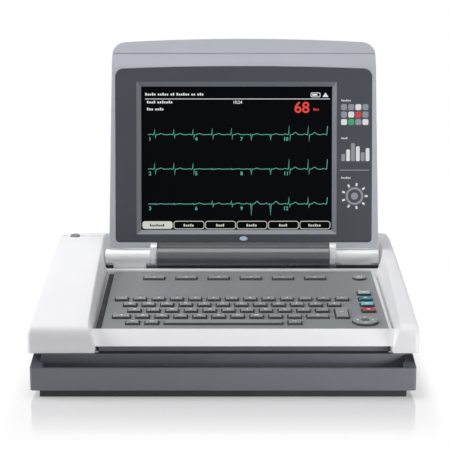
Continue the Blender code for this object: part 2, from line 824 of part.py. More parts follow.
def socket_corners(x, grow, longer):
    half = SOCKET_WIDTH / 2 + grow
    low_z = LOWER_FLOOR_Z + SEAT_GAP + SOCKET_RIM - grow
    high_z = LOWER_TOP_Z - SOCKET_DROP + grow
    rear = LOWER_REAR_Y
    return (
        (x - half, rear - SOCKET_DEPTH - longer, low_z),
        (x + half, rear + longer, high_z),
    )


def build_lower_contents():
    for name, (x, y) in zip(
        ("case_screw_front_left", "case_screw_front_right",
         "case_screw_rear_left", "case_screw_rear_right"),
        screw_places(),
    ):
        head_z = LOWER_Z + SCREW_SINK
        screw = place(name, cylinder(
            name, SCREW_HEAD_RADIUS, "Z", head_z, screw_seat_z(), (x, y, 0.0),
        ), STEEL)
        shank = name + "_shank"
        join(screw, guide(shank, cylinder(
            shank, SCREW_RADIUS, "Z", head_z + SCREW_HEAD_HEIGHT / 2,
            CHASSIS_TOP_Z, (x, y, 0.0),
        )))
    low, high = battery_corners()
    place("battery_pack", box("battery_pack", low, high), DARK_GREY)
    low, high = battery_door_corners(0.0)
    place("battery_door", box("battery_door", low, high), DARK_GREY)

    supply_left = -LOWER_HALF_X + BATTERY_FROM_SIDE
    supply_rear = LOWER_REAR_Y - SOCKET_DEPTH - SUPPLY_GAP
    base_z = LOWER_FLOOR_Z + SEAT_GAP
    place("power_supply", box(
        "power_supply",
        (supply_left, supply_rear - SUPPLY_DEPTH, base_z),
        (supply_left + SUPPLY_WIDTH, supply_rear, base_z + SUPPLY_HEIGHT),
    ), STEEL)

    board_left = supply_left + max(BATTERY_WIDTH, SUPPLY_WIDTH) + MAIN_BOARD_GAP
    board_front = battery_corners()[0][1]
    board = place("main_board", box(
        "main_board",
        (board_left, board_front, base_z),
        (board_left + MAIN_BOARD_WIDTH, board_front + MAIN_BOARD_DEPTH,
         base_z + BOARD_THICKNESS),
    ), CIRCUIT)
    chip_x = board_left + MAIN_BOARD_WIDTH / 2
    chip_y = board_front + MAIN_BOARD_DEPTH / 2
    half = PROCESSOR_WIDTH / 2
    join(board, guide("processor", box(
        "processor",
        (chip_x - half, chip_y - half, base_z + BOARD_THICKNESS / 2),
        (chip_x + half, chip_y + half, base_z + BOARD_THICKNESS + PROCESSOR_HEIGHT),
    )))

    inlet = place("mains_inlet", box(
        "mains_inlet", *socket_corners(INLET_X, 0.0, 0.0)), RUBBER)
    low, high = socket_corners(INLET_X, -SOCKET_RIM, 0.0)
    cut(inlet, guide("mains_inlet_recess", box(
        "mains_inlet_recess",
        (low[0], LOWER_REAR_Y - SOCKET_RECESS, low[2]),
        (high[0], LOWER_REAR_Y + OVERSHOOT, high[2]),
    )))
    low, high = socket_corners(PORT_X, 0.0, 0.0)
    port = place("patient_port", box("patient_port", low, high), RUBBER)
    cut(port, guide("patient_port_recess", cylinder(
        "patient_port_recess", PORT_RADIUS, "Y", LOWER_REAR_Y - SOCKET_RECESS,
        LOWER_REAR_Y + OVERSHOOT, (PORT_X, 0.0, (low[2] + high[2]) / 2),
    )))


def build_handle_and_feet():
    top = LOWER_TOP_Z - HANDLE_DROP
    arm_top = LOWER_TOP_Z - SEAT_GAP
    half = LOWER_HALF_X
    inner = half - HANDLE_ARM
    rear = LOWER_FRONT_Y - SEAT_GAP
    bar_back = FRONT_Y + HANDLE_FOOT_THICKNESS
    outline = rounded((
        ((-half, rear), 0.0),
        ((-half - HANDLE_FLARE, FRONT_Y), HANDLE_OUTER_RADIUS),
        ((half + HANDLE_FLARE, FRONT_Y), HANDLE_OUTER_RADIUS),
        ((half, rear), 0.0),
        ((inner, rear), 0.0),
        ((inner, bar_back), HANDLE_INNER_RADIUS),
        ((-inner, bar_back), HANDLE_INNER_RADIUS),
        ((-inner, rear), 0.0),
    ))
    handle = place("front_handle", prism(
        "front_handle", outline, "XY", LOWER_Z, arm_top), DARK_GREY)
    over = (
        (FRONT_Y - OVERSHOOT, top),
        (FRONT_Y + HANDLE_CREST, top),
        (rear, arm_top),
        (rear, arm_top + OVERSHOOT),
        (FRONT_Y - OVERSHOOT, arm_top + OVERSHOOT),
    )
    cut(handle, guide("handle_over", prism(
        "handle_over", over, "YZ", LEFT_X, RIGHT_X)))
    slope = (
        (FRONT_Y + HANDLE_TOP_THICKNESS, top - HANDLE_BACK_DROP),
        (FRONT_Y + HANDLE_CREST, top),
        (FRONT_Y + HANDLE_CREST, arm_top),
        (bar_back + OVERSHOOT, arm_top),
        (bar_back + OVERSHOOT, LOWER_Z),
        (bar_back, LOWER_Z),
    )
    reach = inner - HANDLE_INNER_RADIUS
    cut(handle, guide("handle_slope", prism(
        "handle_slope", slope, "YZ", -reach, reach)))
    soften(handle, HANDLE_EDGE, 2)
    place("front_foot_rail", box(
        "front_foot_rail",
        (-inner, FRONT_Y + RAIL_FOOT_INSET, 0.0),
        (inner, FRONT_Y + RAIL_FOOT_INSET + RAIL_FOOT_DEPTH, FOOT_HEIGHT),
    ), RUBBER)
    for name, side in (("rear_foot_left", -1), ("rear_foot_right", 1)):
        at = (side * (LOWER_HALF_X - FOOT_FROM_SIDE), LOWER_REAR_Y - FOOT_FROM_REAR, 0.0)
        place(name, cylinder(name, FOOT_RADIUS, "Z", 0.0, FOOT_HEIGHT, at), RUBBER)


def build_chassis():
    right = RIGHT_X - WALL - SEAT_GAP
    plate = place("chassis_plate", box(
        "chassis_plate",
        (-LOWER_HALF_X, LOWER_FRONT_Y + LIP_THICKNESS + SEAT_GAP, CHASSIS_Z),
        (right, REAR_Y - WALL - SEAT_GAP, CHASSIS_TOP_Z),
    ), STEEL)
    for index, (x, y) in enumerate(screw_places()):
        name = f"chassis_bore_{index}"
        cut(plate, guide(name, cylinder(
            name, SCREW_RADIUS + SEAT_GAP, "Z", below(CHASSIS_Z),
            CHASSIS_TOP_Z + OVERSHOOT, (x, y, 0.0),
        )))


def build_upper_case():
    case = place("upper_case", prism(
        "upper_case", case_outline(rise=SKIRT_RISE), "YZ", UPPER_LEFT_X, RIGHT_X), WHITE)
    soften(case, CASE_SIDE_RADIUS, 3, lambda middle: (
        middle.x > RIGHT_X - WELD and middle.z > CASE_Z + SKIRT_RISE + WELD
    ))
    high = CASE_Z + SHOULDER_CREST + OVERSHOOT
    front = CASE_FRONT_Y - OVERSHOOT
    air = (
        (front, below(CASE_Z)),
        (STRIP_BOTTOM_Y, below(CASE_Z)),
        (STRIP_BOTTOM_Y, STRIP_BOTTOM_Z),
        (STRIP_TOP_Y, DECK_FRONT_Z),
        (RECESS_FRONT_Y, DECK_FRONT_Z),
        (RECESS_FRONT_Y, recess_z(RECESS_FRONT_Y)),
        (LEDGE_FRONT_Y, recess_z(LEDGE_FRONT_Y)),
        (LEDGE_FRONT_Y, LEDGE_Z),
        (LEDGE_REAR_Y, LEDGE_Z),
        (LEDGE_REAR_Y, REAR_DECK_Z),
        (REAR_Y + OVERSHOOT, REAR_DECK_Z),
        (REAR_Y + OVERSHOOT, high),
        (front, high),
    )
    cut(case, guide("upper_case_air", prism(
        "upper_case_air", air, "YZ", RECESS_LEFT_X, RECESS_RIGHT_X,
        recess_left, recess_right)))
    slope = (DECK_FRONT_Z - STRIP_BOTTOM_Z) / (STRIP_TOP_Y - STRIP_BOTTOM_Y)
    skin = WALL * math.hypot(1.0, slope) / slope
    floor_z = recess_z(RECESS_FRONT_Y) - FLOOR
    inner_y = STRIP_BOTTOM_Y + skin
    ceiling_y = inner_y + (floor_z - STRIP_BOTTOM_Z) / slope
    ledge_y = LEDGE_FRONT_Y + FLOOR
    inside = (
        (inner_y, below(CASE_Z)),
        (inner_y, STRIP_BOTTOM_Z),
        (ceiling_y, floor_z),
        (ledge_y, recess_z(LEDGE_FRONT_Y) - FLOOR),
        (ledge_y, REAR_DECK_Z - FLOOR),
        (REAR_Y - WALL, REAR_DECK_Z - FLOOR),
        (REAR_Y - WALL, below(CASE_Z)),
    )
    cut(case, guide("upper_case_inside", prism(
        "upper_case_inside", inside, "YZ", UPPER_LEFT_X - OVERSHOOT,
        RIGHT_X - 2 * WALL)))
    cut(case, guide("rail_inside", prism(
        "rail_inside", case_outline(WALL, below(CASE_Z)), "YZ",
        RECESS_RIGHT_X + WALL, RIGHT_X - WALL, rail_inner)))
    under = (STRIP_BOTTOM_Y - OVERSHOOT, below(CASE_Z))
    strip_foot = (
        under,
        (inner_y + WALL, below(CASE_Z)),
        (inner_y + WALL, STRIP_BOTTOM_Z),
        (STRIP_BOTTOM_Y - OVERSHOOT, STRIP_BOTTOM_Z),
    )
    cut(case, guide("strip_foot", prism(
        "strip_foot", strip_foot, "YZ", RECESS_LEFT_X + STRIP_FOOT_INSET,
        RECESS_RIGHT_X - PANEL_GAP_RIGHT)))
    pocket = BARREL_RADIUS + 2 * SEAT_GAP
    at = (0.0, HINGE_Y, HINGE_Z)
    cut(case,
        guide("hinge_pocket_left", cylinder(
            "hinge_pocket_left", pocket, "X", barrel_left_x() - SEAT_GAP,
            RECESS_LEFT_X + OVERSHOOT, at)),
        guide("hinge_pocket_right", cylinder(
            "hinge_pocket_right", pocket, "X", RECESS_RIGHT_X - OVERSHOOT,
            barrel_right_x() + SEAT_GAP, at)))
    middle = (RECESS_LEFT_X + RECESS_RIGHT_X) / 2
    rear = REAR_Y - VENT_FROM_REAR
    slots = []
    for index in range(VENTS):
        x = middle + (index - (VENTS - 1) / 2) * VENT_PITCH
        slots.append((
            (x - VENT_WIDTH / 2, rear - VENT_LENGTH, REAR_DECK_Z - 2 * FLOOR),
            (x + VENT_WIDTH / 2, rear, REAR_DECK_Z + FLOOR),
        ))
    cut(case, guide("vents", boxes("vents", slots)))


def barrel_left_x():
    return recess_left(HINGE_Z - BARREL_RADIUS)


def barrel_right_x():
    return recess_right(HINGE_Z - BARREL_RADIUS)


def build_writer_drawer():
    door = place("writer_door", prism(
        "writer_door", case_outline(rise=SKIRT_RISE), "YZ", LEFT_X, DOOR_RIGHT_X), WHITE)
    soften(door, CASE_SIDE_RADIUS, 3, lambda middle: (
        middle.x < LEFT_X + WELD and middle.z > CASE_Z + SKIRT_RISE + WELD
    ))
    cut(door, guide("writer_door_inside", prism(
        "writer_door_inside", case_outline(WALL, below(CASE_Z)), "YZ",
        DOOR_INNER_X, DOOR_RIGHT_X + OVERSHOOT)))
    slot_z = CASE_Z + PAPER_SLOT_RISE
    cut(door, guide("paper_slot", box(
        "paper_slot",
        (LEFT_X - OVERSHOOT, -PAPER_WIDTH / 2, slot_z),
        (DOOR_INNER_X + OVERSHOOT, PAPER_WIDTH / 2, slot_z + PAPER_SLOT),
    )))
    button_x = LEFT_X + BUTTON_FROM_SIDE
    button_y = REAR_Y - BUTTON_FROM_REAR
    button_top = shoulder_z(button_y) + BUTTON_RISE
    cut(door, guide("button_hole", prism(
        "button_hole", oval(BUTTON_WIDTH + 2 * GUIDE_GAP, BUTTON_LENGTH + 2 * GUIDE_GAP),
        "XY", -BUTTON_HEIGHT - OVERSHOOT, OVERSHOOT,
    ), None, (button_x, button_y, button_top)))
    button = place("door_release_button", prism(
        "door_release_button", oval(BUTTON_WIDTH, BUTTON_LENGTH), "XY",
        -BUTTON_HEIGHT, 0.0,
    ), DARK_GREY, None, (button_x, button_y, button_top))
    soften(button, KEY_EDGE, 1)

    tray = place("paper_tray", box(
        "paper_tray",
        (DOOR_INNER_X + SEAT_GAP, -TRAY_HALF_Y, TRAY_Z),
        (TRAY_RIGHT_X, TRAY_HALF_Y, TRAY_TOP_Z),
    ), STEEL)
    rim_top = TRAY_TOP_Z + TRAY_RIM
    rim_low = TRAY_Z + TRAY_THICKNESS / 2
    rim_inner = TRAY_HALF_Y - TRAY_RIM_WIDTH
    join(tray,
         guide("tray_rim_front", box(
             "tray_rim_front", (PAPER_LEFT_X, -TRAY_HALF_Y, rim_low),
             (TRAY_RIGHT_X, -rim_inner, rim_top))),
         guide("tray_rim_rear", box(
             "tray_rim_rear", (PAPER_LEFT_X, rim_inner, rim_low),
             (TRAY_RIGHT_X, TRAY_HALF_Y, rim_top))),
         guide("tray_rim_right", box(
             "tray_rim_right", (TRAY_RIGHT_X - TRAY_RIM_WIDTH, -TRAY_HALF_Y, rim_low),
             (TRAY_RIGHT_X, TRAY_HALF_Y, rim_top))))
    paper_z = TRAY_TOP_Z + SEAT_GAP
    place("paper_pad", box(
        "paper_pad",
        (PAPER_LEFT_X, -PAPER_WIDTH / 2, paper_z),
        (PAPER_RIGHT_X, PAPER_WIDTH / 2, paper_z + PAPER_HEIGHT),
    ), PAPER)

    back_x = DOOR_INNER_X + SEAT_GAP
    low_z = TRAY_TOP_Z + BRACKET_LOW
    high_z = ROLLER_Z + ROLLER_SHAFT_RADIUS + BRACKET_EDGE
    front_x = back_x + BRACKET_THICKNESS
    arm_x = ROLLER_X + 2 * ROLLER_SHAFT_RADIUS
    channel = (
        (back_x, -BRACKET_OUTER_Y),
        (arm_x, -BRACKET_OUTER_Y),
        (arm_x, -BRACKET_INNER_Y),
        (front_x, -BRACKET_INNER_Y),
        (front_x, BRACKET_INNER_Y),
        (arm_x, BRACKET_INNER_Y),
        (arm_x, BRACKET_OUTER_Y),
        (back_x, BRACKET_OUTER_Y),
    )
    bracket = place("roller_bracket", prism(
        "roller_bracket", channel, "XY", low_z, high_z), STEEL)
    gap_half = BRACKET_INNER_Y - BRACKET_THICKNESS
    cut(bracket, guide("bracket_gap", box(
        "bracket_gap",
        (back_x - OVERSHOOT, -gap_half, low_z + BRACKET_BACK_HEIGHT),
        (front_x + OVERSHOOT, gap_half, high_z + OVERSHOOT),
    )))
    at = (ROLLER_X, 0.0, ROLLER_Z)
    cut(bracket, guide("bracket_bore", cylinder(
        "bracket_bore", ROLLER_SHAFT_RADIUS + SEAT_GAP, "Y",
        -BRACKET_OUTER_Y - OVERSHOOT, BRACKET_OUTER_Y + OVERSHOOT), None, at))
    roller = place("platen_roller", cylinder(
        "platen_roller", ROLLER_RADIUS, "Y", -ROLLER_HALF, ROLLER_HALF),
        RUBBER, None, at)
    join(roller, guide("roller_shaft", cylinder(
        "roller_shaft", ROLLER_SHAFT_RADIUS, "Y",
        -BRACKET_OUTER_Y - GEAR_GAP, GEAR_REAR_Y + SEAT_GAP), None, at))
    gear = place("roller_gear", prism(
        "roller_gear", gear_outline(ROLLER_TEETH, 0.0), "XZ",
        GEAR_FRONT_Y, GEAR_REAR_Y), DARK_GREY, None, at)
    cut(gear, guide("roller_gear_bore", cylinder(
        "roller_gear_bore", ROLLER_SHAFT_RADIUS + SEAT_GAP, "Y",
        GEAR_FRONT_Y - OVERSHOOT, GEAR_REAR_Y + OVERSHOOT), None, at))


def oval(width, length):
    half = width / 2
    reach = length / 2
    radius = half - OVAL_FLAT / 2
    return rounded((
        ((-half, -reach), radius),
        ((half, -reach), radius),
        ((half, reach), radius),
        ((-half, reach), radius),
    ))


def gear_outline(teeth, start):
    """Straight-flanked teeth; start turns the first tooth."""
    tip = GEAR_MODULE * (teeth / 2 + TOOTH_TIP)
    root = GEAR_MODULE * (teeth / 2 - TOOTH_ROOT)
    step = 2 * math.pi / teeth
    points = []
    for tooth in range(teeth):
        for radius, share in ((root, -ROOT_SHARE), (tip, -TIP_SHARE),
                              (tip, TIP_SHARE), (root, ROOT_SHARE)):
            turn = start + (tooth + share) * step
            points.append((radius * math.cos(turn), radius * math.sin(turn)))
    return points


def build_writer_drive():
    at = (MOTOR_X, 0.0, MOTOR_Z)
    facing = GEAR_ANGLE + math.pi
    driven = GEAR_ANGLE / (2 * math.pi / ROLLER_TEETH)
    into_tooth = driven - math.floor(driven)
    start = facing + (into_tooth + 0.5) * (2 * math.pi / MOTOR_TEETH)
    gear = place("motor_gear", prism(
        "motor_gear", gear_outline(MOTOR_TEETH, start), "XZ",
        GEAR_FRONT_Y, GEAR_REAR_Y), STEEL, None, at)
    cut(gear, guide("motor_gear_bore", cylinder(
        "motor_gear_bore", MOTOR_SHAFT_RADIUS + SEAT_GAP, "Y",
        GEAR_FRONT_Y - OVERSHOOT, GEAR_REAR_Y + OVERSHOOT), None, at))
    flange_y = GEAR_REAR_Y + SEAT_GAP
    flange_right = UPPER_LEFT_X - SEAT_GAP - MOTOR_X
    half = MOTOR_FLANGE_HEIGHT / 2
    motor = place("writer_motor", box(
        "writer_motor", (-half, flange_y, -half),
        (flange_right, flange_y + MOTOR_FLANGE, half)), STEEL, None, at)
    join(motor,
         guide("motor_can", cylinder(
             "motor_can", MOTOR_RADIUS, "Y", flange_y + MOTOR_FLANGE / 2,
             flange_y + MOTOR_FLANGE + MOTOR_LENGTH), None, at),
         guide("motor_shaft", cylinder(
             "motor_shaft", MOTOR_SHAFT_RADIUS, "Y", GEAR_FRONT_Y,
             flange_y + MOTOR_FLANGE / 2), None, at))
    head_z = ROLLER_Z - HEAD_BELOW_AXIS
    place("thermal_print_head", box(
        "thermal_print_head",
        (HEAD_LEFT_X, -PAPER_WIDTH / 2, head_z),
        (HEAD_RIGHT_X, PAPER_WIDTH / 2, head_z + HEAD_HEIGHT),
    ), STEEL)


DECK = frame("deck_frame", (PANEL_LEFT_X, DECK_FRONT_Y, DECK_FRONT_Z), DECK_TILT)
LID = frame("lid_frame", (0.0, HINGE_Y, HINGE_Z), -LID_LEAN)


def row_front(row):
    """Front edge of a key row, counted from the row nearest the user."""
    return PANEL_MARGIN_FRONT + row * KEY_PITCH


def even_keys(offset, count):
    return [
        (PANEL_MARGIN_LEFT + offset + index * KEY_PITCH, KEY_WIDTH)
        for index in range(count)
    ]


def space_left():
    return PANEL_MARGIN_LEFT + MODIFIER_OFFSET + MODIFIER_KEYS_LEFT * KEY_PITCH


def key_rows():
    """(name, front edge, [(left, width)]) of each row that shares a carrier."""
    key_space = KEY_PITCH - KEY_WIDTH
    lower = even_keys(LOWER_OFFSET, LOWER_KEYS)
    first = lower[0][0] - key_space - LEFT_SHIFT_WIDTH
    after = lower[-1][0] + KEY_PITCH
    lower = [(first, LEFT_SHIFT_WIDTH), *lower, (after, RIGHT_SHIFT_WIDTH)]
    modifiers = even_keys(MODIFIER_OFFSET, MODIFIER_KEYS_LEFT)
    modifiers.append((space_left() + SPACE_WIDTH + key_space, KEY_WIDTH))
    rows = (
        ("modifier_row", modifiers),
        ("lower_row", lower),
        ("home_row", even_keys(HOME_OFFSET, HOME_KEYS)),
        ("upper_row", even_keys(UPPER_OFFSET, UPPER_KEYS)),
        ("number_row", even_keys(0.0, NUMBER_KEYS)),
    )
    return [(name, row_front(index), keys) for index, (name, keys) in enumerate(rows)]


def single_keys():
    """(name, left, front, width, depth, look) of each key that moves by itself."""
    enter_left = PANEL_MARGIN_LEFT + HOME_OFFSET + HOME_KEYS * KEY_PITCH
    keys = [
        ("space_bar", space_left(), row_front(0), SPACE_WIDTH,
         KEY_DEPTH - CARRIER_OVERLAP - GUIDE_GAP, DECK_GREY),
        ("enter_key", enter_left, row_front(1), KEY_WIDTH,
         KEY_PITCH + KEY_DEPTH, DECK_GREY),
    ]
    for index in range(FUNCTION_KEYS):
        left = PANEL_MARGIN_LEFT + FUNCTION_OFFSET + index * FUNCTION_PITCH
        keys.append((f"function_key_{index + 1}", left, FUNCTION_FRONT,
                     FUNCTION_WIDTH, FUNCTION_DEPTH, DECK_GREY))
    looks = (RED_KEY, BLUE_KEY, TEAL_KEY, GREEN_KEY)
    names = ("stop_key", "lead_key", "rhythm_key", "record_key")
    for index, (name, look) in enumerate(zip(names, looks)):
        keys.append((name, ACTION_LEFT, row_front(FIRST_ACTION_ROW + index), ACTION_WIDTH,
                     KEY_DEPTH, look))
    return keys


def key_corners(left, front, width, depth, low=None, grow=0.0, high=KEY_RISE):
    bottom = -PANEL_PLATE - GUIDE_GAP - CARRIER_HEIGHT / 2 if low is None else low
    return (
        (left - grow, front - grow, bottom),
        (left + width + grow, front + depth + grow, high),
    )


def build_keyboard():
    panel = place("keyboard_panel", box(
        "keyboard_panel", (0.0, 0.0, -PANEL_HEIGHT),
        (PANEL_WIDTH, PANEL_DEPTH, 0.0)), DECK_GREY, DECK)
    soften(panel, PANEL_EDGE, 2, lambda middle: middle.z > -WELD)
    cut(panel, guide("panel_inside", box(
        "panel_inside", (PANEL_SKIRT, PANEL_SKIRT, -PANEL_HEIGHT - OVERSHOOT),
        (PANEL_WIDTH - PANEL_SKIRT, PANEL_DEPTH - PANEL_SKIRT, -PANEL_PLATE)), DECK))
    holes = []
    carrier_top = -PANEL_PLATE - GUIDE_GAP
    for name, front, keys in key_rows():
        caps = []
        for left, width in keys:
            caps.append(key_corners(left, front, width, KEY_DEPTH))
            holes.append(key_corners(left, front, width, KEY_DEPTH, -PANEL_HEIGHT,
                                     GUIDE_GAP, OVERSHOOT))
        left = keys[0][0]
        right = keys[-1][0] + keys[-1][1]
        back = front + KEY_DEPTH - CARRIER_OVERLAP
        row = place(name, box(
            name, (left + KEY_DRAFT, back, carrier_top - CARRIER_HEIGHT),
            (right - KEY_DRAFT, back + CARRIER_DEPTH, carrier_top)), DECK_GREY, DECK)
        cap_guide = guide(name + "_caps", boxes(name + "_caps", caps, KEY_DRAFT), DECK)
        soften(cap_guide, KEY_EDGE, 1, lambda middle: middle.z > KEY_RISE - WELD)
        join(row, cap_guide)
    for name, left, front, width, depth, look in single_keys():
        key = place(name, box(
            name, *key_corners(left, front, width, depth), KEY_DRAFT), look, DECK)
        soften(key, KEY_EDGE, 1, lambda middle: middle.z > KEY_RISE - WELD)
        holes.append(key_corners(left, front, width, depth, -PANEL_HEIGHT,
                                 GUIDE_GAP, OVERSHOOT))
    cut(panel, guide("key_holes", boxes("key_holes", holes), DECK))

    power_at = (ACTION_LEFT + ACTION_WIDTH / 2, FUNCTION_FRONT + FUNCTION_DEPTH / 2, 0.0)
    power = place("power_button", cylinder(
        "power_button", POWER_RADIUS, "Z", -PANEL_PLATE - GUIDE_GAP, KEY_RISE),
        DECK_GREY, DECK, power_at)
    soften(power, KEY_EDGE, 1)
    trim_at = (ACTION_LEFT + ACTION_WIDTH / 2 - TRIM_OFFSET, TRIM_FROM_FRONT, 0.0)
    trim = place("trim_pad", cylinder(
        "trim_pad", TRIM_RADIUS, "Z", -TRIM_SKIRT, TRIM_RISE), DECK_GREY, DECK, trim_at)
    soften(trim, TRIM_DOME, 2, lambda middle: middle.z > TRIM_RISE - WELD)
    place("trim_gimbal", cylinder(
        "trim_gimbal", GIMBAL_RADIUS, "Z", -TRIM_SKIRT - SEAT_GAP - GIMBAL_HEIGHT,
        -TRIM_SKIRT - SEAT_GAP), STEEL, DECK, trim_at)
    for name, radius, at in (("power_hole", POWER_RADIUS, power_at),
                             ("trim_hole", TRIM_RADIUS, trim_at)):
        cut(panel, guide(name, cylinder(
            name, radius + GUIDE_GAP, "Z", -PANEL_HEIGHT, OVERSHOOT), DECK, at))
    inset = PANEL_SKIRT + SEAT_GAP
    board_z = -PANEL_HEIGHT + SEAT_GAP
    place("keyboard_board", box(
        "keyboard_board", (inset, inset, board_z),
        (PANEL_WIDTH - inset, PANEL_DEPTH - inset, board_z + BOARD_THICKNESS)),
        CIRCUIT, DECK)


def arched(left, right, bottom, top, taper, arch, corner, foot_corner):
    """A display outline: tapered sides, rounded corners and a slightly arched top."""
    shape = [((left, bottom), foot_corner), ((right, bottom), foot_corner),
             ((right - taper, top - arch), corner)]
    for step in range(ARCH_STEPS - 1, 0, -1):
        share = step / ARCH_STEPS
        x = left + taper + (right - left - 2 * taper) * share
        rise = arch * (1 - (2 * share - 1) ** 2)
        shape.append(((x, top - arch + rise), 0.0))
    shape.append(((left + taper, top - arch), corner))
    return rounded(shape)


def build_display():
    shell = place("display_rear_shell", prism(
        "display_rear_shell",
        arched(LID_LEFT_X, LID_RIGHT_X, LID_BOTTOM, LID_TOP, LID_TAPER, LID_ARCH,
               LID_CORNER, LID_FOOT_CORNER),
        "XZ", -LID_FRONT, LID_BACK), SHELL_GREY, LID)
    back_radius = min(LID_BACK_RADIUS, LID_FOOT_CORNER - SEAT_GAP)
    soften(shell, back_radius, 3, lambda middle: middle.y > LID_BACK - WELD)
    top = LID_TOP + OVERSHOOT
    brow_z = BEZEL_TOP + SEAT_GAP
    step_z = BEZEL_TOP + BROW_STEP
    steepness = (step_z - brow_z) / BROW_SLOPE
    brow = (
        (-LID_FRONT - OVERSHOOT, brow_z - OVERSHOOT * steepness),
        (-LID_FRONT + BROW_SLOPE, step_z),
        (-LID_FRONT + BROW_SLOPE - BROW_NOTCH, step_z),
        (-LID_FRONT + BROW_SLOPE + BROW_SETBACK, LID_TOP),
        (-LID_FRONT + BROW_SLOPE + BROW_SETBACK, top),
        (-LID_FRONT - OVERSHOOT, top),
    )
    cut(shell, guide("brow", prism(
        "brow", brow, "YZ", LID_LEFT_X - OVERSHOOT, LID_RIGHT_X + OVERSHOOT), LID))
    pocket = arched(
        BEZEL_LEFT_X - SEAT_GAP, BEZEL_RIGHT_X + SEAT_GAP, BEZEL_BOTTOM - SEAT_GAP,
        BEZEL_TOP + SEAT_GAP, 0.0, BEZEL_ARCH, BEZEL_CORNER, BEZEL_FOOT_CORNER)
    cut(shell, guide("display_pocket", prism(
        "display_pocket", pocket, "XZ", -LID_FRONT - OVERSHOOT, LID_BACK - WALL), LID))
    notch_back = COVER_RADIUS + SEAT_GAP
    cut(shell, guide("cover_notch", box(
        "cover_notch",
        (COVER_LEFT_X - SEAT_GAP, -LID_FRONT - OVERSHOOT, -OVERSHOOT),
        (COVER_RIGHT_X + SEAT_GAP, notch_back, BEZEL_BOTTOM + SEAT_GAP)), LID))
    ear = [(-EAR_RADIUS, EAR_SHOULDER)]
    for step in range(SMALL_ROUND_STEPS + 1):
        turn = math.pi + math.pi * step / SMALL_ROUND_STEPS
        ear.append((EAR_RADIUS * math.cos(turn), EAR_RADIUS * math.sin(turn)))
    ear += [(EAR_RADIUS, EAR_TOP), (SEAT_GAP - LID_FRONT, EAR_TOP)]
    for name, left in (("ear_left", EAR_LEFT_X), ("ear_right", EAR_RIGHT_X - EAR_WIDTH)):
        join(shell, guide(name, prism(name, ear, "YZ", left, left + EAR_WIDTH), LID))
        bore = name + "_bore"
        cut(shell, guide(bore, cylinder(
            bore, PIN_RADIUS + SEAT_GAP, "X", left - OVERSHOOT,
            left + EAR_WIDTH + OVERSHOOT), LID))

    cover = place("hinge_cover", cylinder(
        "hinge_cover", COVER_RADIUS, "X", COVER_LEFT_X, COVER_RIGHT_X), BEZEL_GREY, LID)
    join(cover, guide("cover_web", box(
        "cover_web", (COVER_LEFT_X, -LID_FRONT, 0.0),
        (COVER_RIGHT_X, COVER_RADIUS - SEAT_GAP, BEZEL_BOTTOM - SEAT_GAP)), LID))
    for name, low, high in (
        ("cover_bore_left", COVER_LEFT_X - OVERSHOOT, COVER_LEFT_X + PIN_IN_COVER + SEAT_GAP),
        ("cover_bore_right", COVER_RIGHT_X - PIN_IN_COVER - SEAT_GAP,
         COVER_RIGHT_X + OVERSHOOT),
    ):
        cut(cover, guide(name, cylinder(
            name, PIN_RADIUS + SEAT_GAP, "X", low, high), LID))

    bezel = place("display_bezel", prism(
        "display_bezel",
        arched(BEZEL_LEFT_X, BEZEL_RIGHT_X, BEZEL_BOTTOM, BEZEL_TOP, 0.0, BEZEL_ARCH,
               BEZEL_CORNER, BEZEL_FOOT_CORNER),
        "XZ", -LID_FRONT, BEZEL_BACK), BEZEL_GREY, LID)
    cut(bezel, guide("screen_window", window_mesh(), LID))
    lens_at = ((BEZEL_LEFT_X + BEZEL_RIGHT_X) / 2, 0.0, LCD_FROM_HINGE - LENS_BELOW_LCD)
    cut(bezel, guide("lens_hole", prism(
        "lens_hole", ellipse(LENS_WIDTH + 2 * SEAT_GAP, LENS_HEIGHT + 2 * SEAT_GAP), "XZ",
        -LID_FRONT - OVERSHOOT, BEZEL_BACK + OVERSHOOT), LID, lens_at))
    place("status_lens", prism(
        "status_lens", ellipse(LENS_WIDTH, LENS_HEIGHT), "XZ",
        -LID_FRONT - SEAT_GAP, BEZEL_BACK), LENS_PALE, LID, lens_at)
    low_x = LCD_LEFT_X - LCD_MARGIN
    high_x = LCD_RIGHT_X + LCD_MARGIN
    place("lcd_glass", box(
        "lcd_glass", (low_x, GLASS_FRONT, LCD_FROM_HINGE - LCD_MARGIN),
        (high_x, GLASS_FRONT + GLASS_THICKNESS, LCD_TOP + LCD_MARGIN)), SCREEN, LID)
    place("lcd_module", box(
        "lcd_module", (low_x, MODULE_FRONT, LCD_FROM_HINGE - LCD_MARGIN),
        (high_x, MODULE_FRONT + LCD_DEPTH, LCD_TOP + LCD_MARGIN)), STEEL, LID)
    centre_x = (LCD_LEFT_X + LCD_RIGHT_X) / 2
    centre_z = (LCD_FROM_HINGE + LCD_TOP) / 2
    board = place("display_board", box(
        "display_board",
        (centre_x - DISPLAY_BOARD_WIDTH / 2, BOARD_FRONT, centre_z - DISPLAY_BOARD_HEIGHT / 2),
        (centre_x + DISPLAY_BOARD_WIDTH / 2, BOARD_FRONT + BOARD_THICKNESS,
         centre_z + DISPLAY_BOARD_HEIGHT / 2)), CIRCUIT, LID)
    join(board, guide("display_driver", box(
        "display_driver",
        (centre_x - DRIVER_WIDTH / 2, BOARD_FRONT + BOARD_THICKNESS / 2,
         centre_z - DRIVER_HEIGHT / 2),
        (centre_x + DRIVER_WIDTH / 2, BOARD_FRONT + BOARD_THICKNESS + DRIVER_DEPTH,
         centre_z + DRIVER_HEIGHT / 2)), LID))


def ellipse(width, height):
    points = []
    for step in range(LENS_STEPS):
        turn = 2 * math.pi * step / LENS_STEPS
        points.append((width / 2 * math.cos(turn), height / 2 * math.sin(turn)))
    return points


